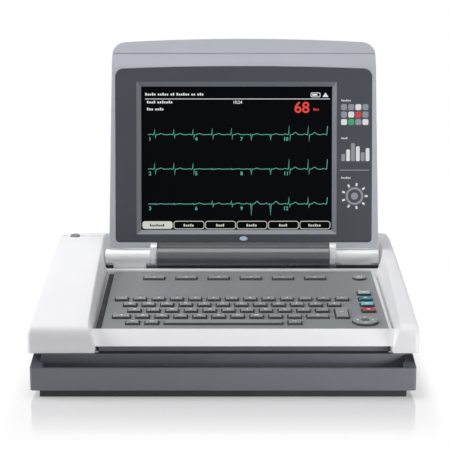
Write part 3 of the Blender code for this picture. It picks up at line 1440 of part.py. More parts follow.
def window_mesh():
    """The screen's opening: as large as the picture behind, flared towards the front."""
    low = Vector((LCD_LEFT_X, -LID_FRONT, LCD_FROM_HINGE))
    high = Vector((LCD_RIGHT_X, BEZEL_BACK, LCD_TOP))
    work = bmesh.new()
    size = Matrix.Diagonal((high - low).to_4d())
    size[3][3] = 1.0
    bmesh.ops.create_cube(work, size=1.0, matrix=Matrix.Translation((low + high) / 2) @ size)
    middle = (low + high) / 2
    longer = 1.0 + OVERSHOOT / BEZEL_THICKNESS
    for vertex in work.verts:
        flare = WINDOW_FLARE * longer
        if vertex.co.y > middle.y:
            flare = -WINDOW_FLARE * (longer - 1.0)
        vertex.co.x += flare if vertex.co.x > middle.x else -flare
        vertex.co.z += flare if vertex.co.z > middle.z else -flare
        vertex.co.y += OVERSHOOT if vertex.co.y > middle.y else -OVERSHOOT
    return finished(work, "screen_window")


def build_hinges():
    at = (0.0, HINGE_Y, HINGE_Z)
    foot_low = REAR_DECK_Z + SEAT_GAP - HINGE_Z
    sides = (
        ("left", barrel_left_x(), EAR_LEFT_X - SEAT_GAP, 1),
        ("right", EAR_RIGHT_X + SEAT_GAP, barrel_right_x(), -1),
    )
    for side, low, high, towards in sides:
        name = f"hinge_barrel_{side}"
        barrel = place(name, cylinder(name, BARREL_RADIUS, "X", low, high),
                       SHELL_GREY, None, at)
        foot = f"barrel_foot_{side}"
        foot_left = max(low, RECESS_LEFT_X) + BARREL_FOOT_INSET
        foot_right = min(high, RECESS_RIGHT_X) - BARREL_FOOT_INSET
        join(barrel, guide(foot, box(
            foot, (foot_left, -BARREL_FOOT_DEPTH / 2, foot_low),
            (foot_right, BARREL_FOOT_DEPTH / 2, 0.0)), None, at))
        ear_face = high if towards > 0 else low
        far = ear_face + towards * (EAR_WIDTH + 2 * SEAT_GAP + PIN_IN_COVER)
        near = ear_face - towards * PIN_IN_BARREL
        bore = f"barrel_bore_{side}"
        bore_end = near - towards * SEAT_GAP
        first, last = sorted((bore_end, ear_face + towards * OVERSHOOT))
        cut(barrel, guide(bore, cylinder(
            bore, PIN_RADIUS + SEAT_GAP, "X", first, last), None, at))
        pin = f"hinge_pin_{side}"
        first, last = sorted((near, far))
        place(pin, cylinder(pin, PIN_RADIUS, "X", first, last), STEEL, None, at)


build_lower_case()
build_lower_contents()
build_handle_and_feet()
build_chassis()
build_upper_case()
build_writer_drawer()
build_writer_drive()
build_keyboard()
build_display()
build_hinges()

for part in PARTS.objects:
    if part.type == "MESH":
        part.data.shade_smooth()
        part.data.set_sharp_from_angle(angle=SHARP_ANGLE)
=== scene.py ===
"""Looks of a portable ECG machine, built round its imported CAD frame.

A length times MM is in metres. Plain lengths of shapes are in millimetres, and those of the camera,
the floor and the lamps are in metres.
"""
import json
import math

import bmesh
import bpy
from mathutils import Matrix, Vector
from mathutils.bvhtree import BVHTree

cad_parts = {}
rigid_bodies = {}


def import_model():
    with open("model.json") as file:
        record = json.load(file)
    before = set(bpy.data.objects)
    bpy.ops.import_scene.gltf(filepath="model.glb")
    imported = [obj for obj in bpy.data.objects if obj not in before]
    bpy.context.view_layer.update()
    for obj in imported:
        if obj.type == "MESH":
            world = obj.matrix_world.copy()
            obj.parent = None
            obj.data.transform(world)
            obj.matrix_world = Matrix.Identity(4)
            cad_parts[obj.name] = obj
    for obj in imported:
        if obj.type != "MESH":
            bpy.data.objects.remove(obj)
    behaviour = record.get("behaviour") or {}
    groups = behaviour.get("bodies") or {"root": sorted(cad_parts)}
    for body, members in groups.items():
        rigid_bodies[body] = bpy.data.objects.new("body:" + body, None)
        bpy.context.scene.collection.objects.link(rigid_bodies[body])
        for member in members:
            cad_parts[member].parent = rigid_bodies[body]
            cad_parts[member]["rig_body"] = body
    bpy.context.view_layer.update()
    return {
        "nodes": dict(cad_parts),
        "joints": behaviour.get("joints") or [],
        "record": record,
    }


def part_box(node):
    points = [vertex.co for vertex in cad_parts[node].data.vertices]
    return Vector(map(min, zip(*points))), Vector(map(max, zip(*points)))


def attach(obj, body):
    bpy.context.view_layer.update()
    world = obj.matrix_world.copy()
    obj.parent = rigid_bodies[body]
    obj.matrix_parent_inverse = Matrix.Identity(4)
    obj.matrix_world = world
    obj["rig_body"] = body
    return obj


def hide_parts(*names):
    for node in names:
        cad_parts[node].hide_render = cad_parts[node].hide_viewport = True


for leftover in list(bpy.data.objects):
    bpy.data.objects.remove(leftover, do_unlink=True)
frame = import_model()
NODES = frame["nodes"]
SLOTS = {row["node"]: row["material_slot"] for row in frame["record"]["subparts"]}
AXES = {joint["name"]: Vector(joint["axis"]) for joint in frame["joints"]}

MM = 0.001
TURN = 2.0 * math.pi
RIGHT = Vector((1.0, 0.0, 0.0))

# The camera of the photograph
CAMERA_AT = (0.00182, -1.57771, 0.51086)
CAMERA_PITCH = math.radians(-13.61)
CAMERA_LENS = 122.706
CAMERA_SENSOR = 36.0

# Merging and rounding of the CAD shapes
WELD = 0.002 * MM
FLAT = math.radians(0.5)
CREASE = math.radians(28.0)
SMOOTH = math.radians(40.0)
EDGE_ROOM = 1.25
EDGE_STEPS = 3
ROUND_PROFILE = 0.5


# Frames of the deck and of the display

def deck_frame():
    """A frame on the deck: x to the right, y to the back, z out of the keys."""
    up = -AXES["space_bar_press"].normalized()
    along = up.cross(RIGHT)
    corners = [vertex.co for vertex in NODES["keyboard_panel"].data.vertices]
    origin = (RIGHT * min(c.x for c in corners) + along * min(c.dot(along) for c in corners)
              + up * max(c.dot(up) for c in corners))
    return placed(RIGHT, along, up, origin)


def lid_frame():
    """A frame on the front of the glass: x to the right, y up the picture, z to the reader."""
    glass = NODES["lcd_glass"].data
    front = max((p for p in glass.polygons if p.normal.y < 0.0), key=lambda p: p.area)
    out = front.normal.copy()
    up = out.cross(RIGHT)
    corners = [vertex.co for vertex in glass.vertices]
    origin = (RIGHT * (min(c.x for c in corners) + GLASS_MARGIN)
              + up * (min(c.dot(up) for c in corners) + GLASS_MARGIN)
              + out * max(c.dot(out) for c in corners))
    return placed(RIGHT, up, out, origin)


def placed(x, y, z, origin):
    """A matrix whose columns are three directions and a place."""
    made = Matrix.Identity(4)
    for column, direction in enumerate((x, y, z, origin)):
        made.col[column][:3] = direction
    return made


GLASS_MARGIN = 6.0 * MM
DECK = deck_frame()
LID = lid_frame()
BEZEL_FACE = max((LID.inverted() @ v.co).z for v in NODES["display_bezel"].data.vertices)


# Colours and materials

def srgb(red, green, blue):
    """A linear colour from the numbers that a screen shows."""
    def linear(value):
        share = value / 255.0
        return share / 12.92 if share <= 0.04045 else ((share + 0.055) / 1.055) ** 2.4
    return (linear(red), linear(green), linear(blue), 1.0)


def tinted(colour, factor):
    """The same colour, lighter or darker."""
    return tuple(min(1.0, part * factor) for part in colour[:3]) + (1.0,)


LOOKS = {}


def start_material(name, colour, roughness, **sockets):
    """Adds a material to the looks, with its plain values on the shader's own sockets."""
    made = bpy.data.materials.new(name)
    LOOKS[name] = made
    made.use_nodes = True
    tree = made.node_tree
    shader = tree.nodes["Principled BSDF"]
    shader.inputs["Base Color"].default_value = colour
    shader.inputs["Roughness"].default_value = roughness
    for socket, value in sockets.items():
        shader.inputs[socket.replace("_", " ")].default_value = value
    return tree, shader


def object_place(tree, stretch=(1.0, 1.0, 1.0)):
    """The place on the piece, in metres, stretched along its axes."""
    place = tree.nodes.new("ShaderNodeTexCoord")
    mapping = tree.nodes.new("ShaderNodeMapping")
    mapping.inputs["Scale"].default_value = stretch
    tree.links.new(place.outputs["Object"], mapping.inputs["Vector"])
    return mapping.outputs["Vector"]


def noise(tree, place, size, detail=2.0):
    """Cloudy noise whose lumps are about that size."""
    made = tree.nodes.new("ShaderNodeTexNoise")
    made.inputs["Scale"].default_value = 1.0 / size
    made.inputs["Detail"].default_value = detail
    tree.links.new(place, made.inputs["Vector"])
    return made.outputs["Fac"]


def spread(tree, value, low, high, start=0.3, end=0.7, kind="LINEAR"):
    """A value mapped to a range."""
    made = tree.nodes.new("ShaderNodeMapRange")
    made.interpolation_type = kind
    made.inputs["From Min"].default_value = start
    made.inputs["From Max"].default_value = end
    made.inputs["To Min"].default_value = low
    made.inputs["To Max"].default_value = high
    tree.links.new(value, made.inputs["Value"])
    return made.outputs["Result"]


def mixed(tree, factor, first, second):
    """A colour between two, each a colour or a socket."""
    made = tree.nodes.new("ShaderNodeMix")
    made.data_type = "RGBA"
    for socket, value in ((6, first), (7, second)):
        if isinstance(value, tuple):
            made.inputs[socket].default_value = value
        else:
            tree.links.new(value, made.inputs[socket])
    tree.links.new(factor, made.inputs[0])
    return made.outputs[2]


def bumped(tree, shader, height, depth):
    """Gives the shader a relief of that depth."""
    made = tree.nodes.new("ShaderNodeBump")
    made.inputs["Distance"].default_value = depth
    tree.links.new(height, made.inputs["Height"])
    tree.links.new(made.outputs["Normal"], shader.inputs["Normal"])


def moulded(name, colour, roughness, grain=0.45 * MM, depth=0.012 * MM, mottle=0.035, **sockets):
    """Moulded plastic: a fine spark texture, slight clouds in its colour and a worn sheen."""
    tree, shader = start_material(name, colour, roughness, **sockets)
    place = object_place(tree)
    fine = noise(tree, place, grain, FINE_DETAIL)
    cloud = noise(tree, place, CLOUD, CLOUD_DETAIL)
    tree.links.new(mixed(tree, spread(tree, cloud, 0.0, 1.0), tinted(colour, 1.0 - mottle),
                         tinted(colour, 1.0 + mottle)), shader.inputs["Base Color"])
    tree.links.new(spread(tree, cloud, roughness - SHEEN_RANGE, roughness + SHEEN_RANGE),
                   shader.inputs["Roughness"])
    bumped(tree, shader, fine, depth)


def inked(name, colour):
    """A thin print: moulded plastic with hardly any texture."""
    moulded(name, colour, 0.5, grain=INK_GRAIN, depth=INK_DEPTH)


def brushed(name, colour, roughness, stretch):
    """Metal with fine lines along one axis."""
    tree, shader = start_material(name, colour, roughness, Metallic=1.0)
    lines = noise(tree, object_place(tree, stretch), BRUSH_LINE, FINE_DETAIL)
    tree.links.new(spread(tree, lines, roughness - BRUSH_GLOSS, roughness + BRUSH_DULL),
                   shader.inputs["Roughness"])
    tree.links.new(mixed(tree, spread(tree, lines, 0.0, 1.0), tinted(colour, BRUSH_DARK),
                         tinted(colour, BRUSH_PALE)), shader.inputs["Base Color"])
    bumped(tree, shader, lines, BRUSH_DEPTH)


def stripes(tree, place, axis, pitch, width):
    """1 on lines across an axis of that pitch and width, else 0."""
    split = tree.nodes.new("ShaderNodeSeparateXYZ")
    tree.links.new(place, split.inputs["Vector"])
    value = split.outputs[axis]
    for operation, number in (("DIVIDE", pitch), ("FRACT", 0.0), ("LESS_THAN", width / pitch)):
        step = tree.nodes.new("ShaderNodeMath")
        step.operation = operation
        tree.links.new(value, step.inputs[0])
        step.inputs[1].default_value = number
        value = step.outputs[0]
    return value


def chart_paper(name):
    """Pale paper with a fine and a broad pink grid."""
    tree, shader = start_material(name, PAPER, PAPER_ROUGH)
    place = object_place(tree)
    fibre = noise(tree, place, FIBRE, CLOUD_DETAIL)
    colour = mixed(tree, spread(tree, fibre, 0.0, 1.0), tinted(PAPER, FIBRE_DARK), PAPER)
    for pitch, width, ink in ((GRID_FINE, LINE_FINE, PAPER_FINE), (GRID_BROAD, LINE_BROAD, PAPER_BROAD)):
        for axis in ("X", "Y"):
            colour = mixed(tree, stripes(tree, place, axis, pitch, width), colour, ink)
    tree.links.new(colour, shader.inputs["Base Color"])
    tree.links.new(spread(tree, fibre, PAPER_ROUGH - FIBRE_RANGE, PAPER_ROUGH + FIBRE_RANGE),
                   shader.inputs["Roughness"])
    bumped(tree, shader, fibre, FIBRE_DEPTH)


def circuit(name):
    """A solder mask with tracks under it."""
    tree, shader = start_material(name, MASK, MASK_ROUGH)
    place = object_place(tree)
    tracks = stripes(tree, place, "X", TRACK_PITCH, TRACK_WIDTH)
    cells = noise(tree, place, TRACK_CELL, 1.0)
    shown = mixed(tree, spread(tree, cells, 0.0, 1.0, *CELL_EDGE), MASK, MASK_TRACK)
    tree.links.new(mixed(tree, tracks, MASK, shown), shader.inputs["Base Color"])
    tree.links.new(spread(tree, cells, MASK_GLOSS, MASK_DULL), shader.inputs["Roughness"])
    bumped(tree, shader, tracks, TRACK_DEPTH)


def lit(name, colour):
    """A lit part of the picture, with the fine grid of the picture's dots."""
    tree, shader = start_material(name, DARK_DOT, DOT_ROUGH, Specular_IOR_Level=DOT_SPECULAR)
    place = object_place(tree)
    dots = stripes(tree, place, "X", DOT_PITCH, DOT_GAP)
    shader.inputs["Emission Color"].default_value = colour
    tree.links.new(spread(tree, dots, 1.0, DOT_DIM, 0.0, 1.0), shader.inputs["Emission Strength"])
    tree.links.new(spread(tree, dots, DOT_ROUGH - SHEEN_RANGE, DOT_ROUGH + SHEEN_RANGE, 0.0, 1.0),
                   shader.inputs["Roughness"])


# Moulded plastic, print and brushed metal
CLOUD = 45.0 * MM
CLOUD_DETAIL = 4.0
FINE_DETAIL = 3.0
SHEEN_RANGE = 0.05
INK_GRAIN = 0.2 * MM
INK_DEPTH = 0.003 * MM
BRUSH_LINE = 0.5 * MM
BRUSH_DEPTH = 0.006 * MM
BRUSH_GLOSS = 0.1
BRUSH_DULL = 0.12
BRUSH_DARK = 0.9
BRUSH_PALE = 1.05

# Chart paper
GRID_FINE = 1.0 * MM
GRID_BROAD = 5.0 * MM
LINE_FINE = 0.12 * MM
LINE_BROAD = 0.3 * MM
FIBRE = 0.6 * MM
FIBRE_DEPTH = 0.01 * MM
FIBRE_DARK = 0.96
FIBRE_RANGE = 0.07
PAPER_ROUGH = 0.75

# Circuit boards
TRACK_PITCH = 2.54 * MM
TRACK_WIDTH = 0.7 * MM
TRACK_DEPTH = 0.02 * MM
TRACK_CELL = 9.0 * MM
CELL_EDGE = (0.48, 0.52)
MASK_ROUGH = 0.4
MASK_GLOSS = 0.32
MASK_DULL = 0.5

# The dots of the screen's picture
DOT_PITCH = 0.264 * MM
DOT_GAP = 0.2 * DOT_PITCH
DOT_DIM = 0.86
DOT_ROUGH = 0.35
DOT_SPECULAR = 0.1

PAPER = srgb(240, 234, 228)
PAPER_FINE = srgb(243, 205, 202)
PAPER_BROAD = srgb(236, 160, 158)
MASK = srgb(20, 84, 52)
MASK_TRACK = srgb(44, 120, 72)
DARK_DOT = srgb(8, 9, 10)

moulded("white_plastic", srgb(239, 239, 241), 0.42, mottle=0.012)
moulded("shell_grey", srgb(186, 189, 197), 0.38, mottle=0.015)
moulded("dark_grey", srgb(115, 115, 124), 0.5, depth=0.02 * MM)
moulded("tray_grey", srgb(136, 136, 147), 0.5, depth=0.02 * MM)
moulded("battery_black", srgb(38, 39, 42), 0.5)
moulded("bezel_grey", srgb(74, 77, 84), 0.46, depth=0.008 * MM, Specular_IOR_Level=0.25)
# frame_grey: a lighter copy of the bezel's grey, painted light on the slope round the screen
moulded("frame_grey", srgb(118, 122, 130), 0.36, depth=0.006 * MM)
moulded("deck_grey", srgb(129, 132, 134), 0.55, grain=0.6 * MM, depth=0.02 * MM)
# key_lit_grey: a lighter copy of the deck's grey, painted light on the tops of keys and buttons
moulded("key_lit_grey", srgb(141, 144, 146), 0.5, grain=0.6 * MM, depth=0.02 * MM)
# key_shade_grey: a darker copy of the keys' grey, painted shade on the sides of keys and buttons
moulded("key_shade_grey", srgb(72, 74, 77), 0.55, grain=0.6 * MM, depth=0.02 * MM)
moulded("black_rubber", srgb(48, 49, 52), 0.75, grain=0.8 * MM, depth=0.03 * MM)
# shadow_black: a near-black that paints shade into the gap at the keys, under the front strip and under
# the hinge
moulded("shadow_black", srgb(22, 22, 24), 0.7, grain=0.8 * MM, depth=0.03 * MM)
moulded("socket_black", srgb(34, 35, 37), 0.5)
brushed("steel", (0.58, 0.58, 0.6, 1.0), 0.34, (1.0, 0.05, 1.0))
brushed("sheet_aluminium", (0.64, 0.64, 0.66, 1.0), 0.42, (0.05, 1.0, 1.0))
circuit("circuit_green")
moulded("screen_glass", srgb(5, 6, 11), 0.16, grain=0.2 * MM, depth=0.0006 * MM, Specular_IOR_Level=0.03)
moulded("hinge_white", srgb(244, 245, 247), 0.3, mottle=0.008, Specular_IOR_Level=0.8)
moulded("hinge_dark", srgb(76, 79, 86), 0.3, depth=0.004 * MM, Specular_IOR_Level=0.9)
moulded("lcd_body", srgb(160, 161, 163), 0.5)
chart_paper("chart_paper")
moulded("key_green", srgb(176, 188, 182), 0.45)
moulded("key_teal", srgb(24, 134, 150), 0.45)
moulded("key_blue", srgb(110, 196, 214), 0.45)
moulded("key_red", srgb(176, 40, 70), 0.45)
moulded("lens_pale", srgb(196, 216, 238), 0.2, depth=0.002 * MM)
inked("legend_white", srgb(242, 243, 244))
inked("print_grey", srgb(150, 155, 164))
inked("print_pale", srgb(186, 188, 194))
inked("print_green", srgb(60, 168, 112))
inked("print_red", srgb(206, 66, 74))
lit("lit_trace", srgb(90, 178, 160))
lit("lit_white", srgb(222, 226, 228))
lit("lit_tab", srgb(206, 208, 196))
lit("lit_red", srgb(226, 70, 62))
lit("lit_dark", srgb(20, 22, 22))


# Mesh building

def new_object(name, data):
    """An object in the scene."""
    made = bpy.data.objects.new(name, data)
    bpy.context.scene.collection.objects.link(made)
    return made


def add_piece(name, work, look, body, smooth=True, second=None):
    """Turns a bmesh into a piece on a body. A second look goes on the faces that its test picks."""
    bmesh.ops.recalc_face_normals(work, faces=work.faces)
    if second:
        work.normal_update()
        for face in work.faces:
            face.material_index = int(second[1](face))
    mesh = bpy.data.meshes.new(name)
    work.to_mesh(mesh)
    work.free()
    if smooth:
        mesh.shade_smooth()
        mesh.set_sharp_from_angle(angle=SMOOTH)
    mesh.materials.append(LOOKS[look])
    if second:
        mesh.materials.append(LOOKS[second[0]])
    piece = new_object(name, mesh)
    if smooth:
        weighted = piece.modifiers.new("weighted", "WEIGHTED_NORMAL")
        weighted.keep_sharp = True
    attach(piece, body)
    return piece


def merged(node):
    """A bmesh of a CAD node with its flat faces whole."""
    work = bmesh.new()
    work.from_mesh(NODES[node].data)
    bmesh.ops.remove_doubles(work, verts=work.verts, dist=WELD)
    bmesh.ops.dissolve_limit(work, angle_limit=FLAT, verts=work.verts, edges=work.edges)
    return work


def round_edges(work, size):
    """Rounds the sharp edges that have room for it, apart from those at the door's seam."""
    room = EDGE_ROOM * size
    roomy = {v for v in work.verts if all(e.calc_length() > room for e in v.link_edges)}
    sharp = [e for e in work.edges if e.is_manifold and e.calc_face_angle(0.0) > CREASE
             and e.verts[0] in roomy and e.verts[1] in roomy
             and not all(abs(v.co.x - SEAM_X) < SEAM_REACH for v in e.verts)]
    bmesh.ops.bevel(work, geom=sharp, offset=size, offset_type="OFFSET", segments=EDGE_STEPS,
                    profile=ROUND_PROFILE, affect="EDGES", clamp_overlap=False)


def close_seam(work):
    """Narrows the seam between the door and the upper case to a fine line."""
    for vertex in work.verts:
        if abs(vertex.co.x - SEAM_X) < SEAM_REACH:
            vertex.co.x = SEAM_X + math.copysign(SEAM_HALF, vertex.co.x - SEAM_X)


def round_wall_top(work):
    """Rounds the long edge where the housing's top meets the wall at the left of the keys."""
    edges = []
    for edge in work.edges:
        if len(edge.link_faces) == 2 and edge.verts[0].co.x < WALL_X and edge.verts[1].co.x < WALL_X:
            first, second = (face.normal for face in edge.link_faces)
            if max(first.x, second.x) > WALL_FACING and max(first.z, second.z) > WALL_TOP_FACING:
                edges.append(edge)
    bmesh.ops.bevel(work, geom=edges, offset=WALL_ROUND, offset_type="OFFSET", segments=WALL_STEPS,
                    profile=ROUND_PROFILE, affect="EDGES", clamp_overlap=False)


def on_side(face):
    """Whether a face is on the side of a key or button, where a darker grey paints the shade."""
    return face.normal.dot(DECK.col[2].to_3d()) < SIDE_FACING


def on_knuckle(face):
    """Whether a face of the display's shell is on a knuckle between a barrel and the hinge cover."""
    middle = face.calc_center_median()
    return middle.z < KNUCKLE_TOP and any(low < middle.x < high for low, high in KNUCKLES)


def on_chamfer(face):
    """Whether a face of the bezel is on the slope round the screen, which takes a lighter grey as painted
    light.
    """
    middle = LID.inverted() @ face.calc_center_median()
    near = all(abs(middle[i] - CHAMFER_MIDDLE[i]) < CHAMFER_HALF[i] for i in range(2))
    return near and face.normal.dot(LID.col[2].to_3d()) < CHAMFER_FACING


def on_rim(face):
    """Whether a face of the lower case is on the rim right under the front strip, which takes a darker
    grey as painted shade.
    """
    middle = face.calc_center_median()
    return face.normal.y < RIM_FACING and middle.z > RIM_LOW and middle.y < RIM_BACK


def on_top(face):
    """Whether a face looks up. On the handle these faces take the bezel's darker grey as painted shade."""
    return face.normal.z > TOP_FACING


def skin(node, edge, look):
    """A moulding that stands for a CAD node, with its edges rounded."""
    work = merged(node)
    if node == "upper_case":
        round_wall_top(work)
    if edge:
        round_edges(work, edge)
    if node in ("upper_case", "writer_door"):
        close_seam(work)
    piece = add_piece(node + "_skin", work, look, NODES[node]["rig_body"],
                      second=SECOND_LOOKS.get(node))
    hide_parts(node)


SEAM_X = 0.5 * (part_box("writer_door")[1][0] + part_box("upper_case")[0][0])
SEAM_REACH = 0.4 * MM
SEAM_HALF = 0.03 * MM
WALL_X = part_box("keyboard_panel")[0][0]
WALL_ROUND = 1.5 * MM
WALL_STEPS = 4
WALL_FACING = 0.8
WALL_TOP_FACING = 0.7
SIDE_FACING = 0.55
KNUCKLES = ((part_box("hinge_barrel_left")[1][0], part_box("hinge_cover")[0][0]),
            (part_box("hinge_cover")[1][0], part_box("hinge_barrel_right")[0][0]))
KNUCKLE_RISE = 6.0 * MM
KNUCKLE_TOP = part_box("hinge_barrel_left")[1][2] + KNUCKLE_RISE
CHAMFER_FACING = 0.95
CHAMFER_MIDDLE = (105.6 * MM, 79.2 * MM)
CHAMFER_HALF = (111.0 * MM, 84.6 * MM)
RIM_FACING = -0.5
RIM_LOW = 38.0 * MM
RIM_BACK = -140.0 * MM
TOP_FACING = 0.4
# Second looks: the knuckles' own white, and painted light and shade: a lighter grey on the slope round the
# screen, a darker grey on the lower case's rim under the front strip and on the handle's top
SECOND_LOOKS = {"display_rear_shell": ("hinge_white", on_knuckle),
                "display_bezel": ("frame_grey", on_chamfer),
                "lower_case": ("dark_grey", on_rim),
                "front_handle": ("bezel_grey", on_top)}


def rounded_loop(x0, y0, x1, y1, radius, corner=4, side=3):
    """The points of a rounded rectangle, anticlockwise."""
    radius = min(radius, 0.499 * (x1 - x0), 0.499 * (y1 - y0))
    centres = ((x1 - radius, y0 + radius, -0.25), (x1 - radius, y1 - radius, 0.0),
               (x0 + radius, y1 - radius, 0.25), (x0 + radius, y0 + radius, 0.5))
    arcs = []
    for cx, cy, start in centres:
        arcs.append([(cx + radius * math.cos(TURN * (start + 0.25 * i / corner)),
                      cy + radius * math.sin(TURN * (start + 0.25 * i / corner)))
                     for i in range(corner + 1)])
    points = []
    for index, arc in enumerate(arcs):
        points += arc
        ahead = arcs[(index + 1) % 4][0]
        points += [tuple(a + (b - a) * (i + 1) / (side + 1) for a, b in zip(arc[-1], ahead))
                   for i in range(side)]
    return points


def round_loop(cx, cy, radius, count=40):
    """The points of a circle, anticlockwise."""
    return [(cx + radius * math.cos(TURN * i / count), cy + radius * math.sin(TURN * i / count))
            for i in range(count)]


def loft(work, loops, matrix, peak=None):
    """A closed skin through loops of like count, from the bottom up, ending on the peak if given."""
    rings = [[work.verts.new(matrix @ Vector(point)) for point in loop] for loop in loops]
    count = len(rings[0])
    work.faces.new(list(reversed(rings[0])))
    for low, high in zip(rings, rings[1:]):
        for i in range(count):
            j = (i + 1) % count
            work.faces.new((low[i], low[j], high[j], high[i]))
    if peak is None:
        work.faces.new(rings[-1])
        return
    top = work.verts.new(matrix @ Vector(peak))
    for i in range(count):
        work.faces.new((rings[-1][i], rings[-1][(i + 1) % count], top))


def prism(work, outline, low, high, matrix):
    """A flat plate with that outline."""
    loft(work, [[(x, y, low) for x, y in outline], [(x, y, high) for x, y in outline]], matrix)


def ribbon(work, points, width, low, high, matrix, closed=False):
    """A band of one width along a line of points."""
    count = len(points)
    sections = []
    for i, (x, y) in enumerate(points):
        before = points[i - 1] if closed or i else points[i]
        after = points[(i + 1) % count] if closed or i < count - 1 else points[i]
        a = Vector((x - before[0], y - before[1]))
        b = Vector((after[0] - x, after[1] - y))
        a = a.normalized() if a.length else b.normalized()
        b = b.normalized() if b.length else a
        normal = Vector((-a.y - b.y, a.x + b.x))
        normal = normal.normalized() if normal.length > 1e-9 else Vector((-a.y, a.x))
        reach = 0.5 * width / max(0.35, normal.dot(Vector((-a.y, a.x))))
        left, right = normal * reach, normal * -reach
        sections.append([work.verts.new(matrix @ Vector((x + s.x, y + s.y, z)))
                         for s, z in ((right, low), (left, low), (left, high), (right, high))])
    for i in range(count if closed else count - 1):
        first, second = sections[i], sections[(i + 1) % count]
        for k in range(4):
            m = (k + 1) % 4
            work.faces.new((first[k], first[m], second[m], second[k]))
    if not closed:
        work.faces.new(list(reversed(sections[0])))
        work.faces.new(sections[-1])


GLYPHS = {}
CAP_SHARE = 0.73
GLYPH_BOLD = 0.025


def glyphs(text):
    """Vertices and faces of generic lettering, with capitals one unit tall, centred."""
    if text in GLYPHS:
        return GLYPHS[text]
    curve = bpy.data.curves.new("lettering", "FONT")
    curve.body = text
    curve.size = 1.0 / CAP_SHARE
    curve.extrude = 0.5
    curve.offset = GLYPH_BOLD
    curve.resolution_u = 3
    holder = new_object("lettering", curve)
    bpy.context.view_layer.update()
    mesh = bpy.data.meshes.new_from_object(holder.evaluated_get(bpy.context.evaluated_depsgraph_get()))
    work = bmesh.new()
    work.from_mesh(mesh)
    bmesh.ops.remove_doubles(work, verts=work.verts, dist=1e-4)
    work.verts.index_update()
    middle = 0.5 * (min(v.co.x for v in work.verts) + max(v.co.x for v in work.verts))
    points = [(v.co.x - middle, v.co.y - 0.5, v.co.z) for v in work.verts]
    faces = [[v.index for v in face.verts] for face in work.faces]
    work.free()
    bpy.data.objects.remove(holder, do_unlink=True)
    bpy.data.curves.remove(curve)
    bpy.data.meshes.remove(mesh)
    GLYPHS[text] = (points, faces)
    return GLYPHS[text]


def lettering(work, text, at, height, low, high, matrix, lift=None):
    """Adds lettering of a height at a place, standing from low to high over a surface."""
    points, faces = glyphs(text)
    made = []
    for x, y, z in points:
        px, py = at[0] + x * height, at[1] + y * height
        base = lift(px, py) if lift else 0.0
        made.append(work.verts.new(matrix @ Vector((px, py, base + (low if z < 0.0 else high)))))
    for face in faces:
        try:
            work.faces.new([made[i] for i in face])
        except ValueError:
            continue


# The keys

CAP_BASE = -3.35 * MM
CAP_TOP = 2.4 * MM
CAP_REACH = 1.4 * MM
CAP_CORNER = 1.3 * MM
CAP_DISH = 0.32 * MM
BAR_TOP = -2.9 * MM
PRINT_LOW = -0.06 * MM
PRINT_HIGH = 0.03 * MM
LEGEND_HEIGHT = 3.4 * MM
LEGEND_RISE = 0.9 * MM
DISH_DROP = 0.02 * MM
DISH_STEPS = (0.97, 0.8, 0.55, 0.28)
TOP_SLACK = 0.05 * MM
BAR_SLACK = 0.1 * MM
BAR_INSET = 0.25
BAR_CORNER = 0.6 * MM

# Rows of a cap's side: inset, height, corner
CAP_STEPS = ((0.06, -3.35, 0.7), (0.8, 1.45, 1.0), (0.9, 1.85, 1.05), (1.1, 2.17, 1.15),
             (1.42, 2.33, 1.3))


class Cap:
    """One key cap in the deck's frame, made from the flat top of its CAD solid."""

    def __init__(self, x0, y0, x1, y1, dish):
        self.x0, self.y0 = x0 - CAP_REACH, y0 - CAP_REACH
        self.x1, self.y1 = x1 + CAP_REACH, y1 + CAP_REACH
        self.dish = dish
        self.cx, self.cy = 0.5 * (x0 + x1), 0.5 * (y0 + y1)
        self.hx, self.hy = 0.5 * (x1 - x0), 0.5 * (y1 - y0)

    def height(self, x, y):
        """The height of the dished top there."""
        away = min(1.0, abs(x - self.cx) / self.hx)
        return CAP_TOP - DISH_DROP - self.dish * (1.0 - away * away)

    def build(self, work):
        """Adds the cap to a bmesh."""
        loops = []
        for inset, height, corner in CAP_STEPS:
            loop = rounded_loop(self.x0 + inset * MM, self.y0 + inset * MM, self.x1 - inset * MM,
                                self.y1 - inset * MM, corner * MM)
            loops.append([(x, y, height * MM) for x, y in loop])
        rim = rounded_loop(self.cx - self.hx, self.cy - self.hy, self.cx + self.hx, self.cy + self.hy,
                           CAP_CORNER)
        for share in DISH_STEPS:
            inner = [(self.cx + (x - self.cx) * share, self.cy + (y - self.cy) * share) for x, y in rim]
            loops.append([(x, y, self.height(x, y)) for x, y in inner])
        loft(work, loops, DECK, (self.cx, self.cy, self.height(self.cx, self.cy)))


def caps_of(node, dish):
    """The caps of a key node, from left to right."""
    work = merged(node)
    turn = DECK.inverted()
    caps = []
    for face in work.faces:
        points = [turn @ v.co for v in face.verts]
        if all(abs(p.z - CAP_TOP) < TOP_SLACK for p in points):
            xs, ys = [p.x for p in points], [p.y for p in points]
            caps.append(Cap(min(xs), min(ys), max(xs), max(ys), dish))
    work.free()
    return sorted(caps, key=lambda cap: cap.cx)


def deck_points(node):
    """The corners of a CAD node in the deck's frame."""
    turn = DECK.inverted()
    return [turn @ vertex.co for vertex in NODES[node].data.vertices]


def bar_of(node, work):
    """Adds the carrier bar that joins the keys of a row."""
    foot = [p for p in deck_points(node) if p.z < CAP_BASE - BAR_SLACK]
    if not foot:
        return
    x0, x1 = min(p.x for p in foot), max(p.x for p in foot)
    y0, y1 = min(p.y for p in foot), max(p.y for p in foot)
    loops = []
    for inset, height in ((BAR_INSET, min(p.z for p in foot)), (0.0, CAP_BASE), (BAR_INSET, BAR_TOP)):
        loop = rounded_loop(x0 + inset * MM, y0 + inset * MM, x1 - inset * MM, y1 - inset * MM,
                            BAR_CORNER)
        loops.append([(x, y, height) for x, y in loop])
    loft(work, loops, DECK)


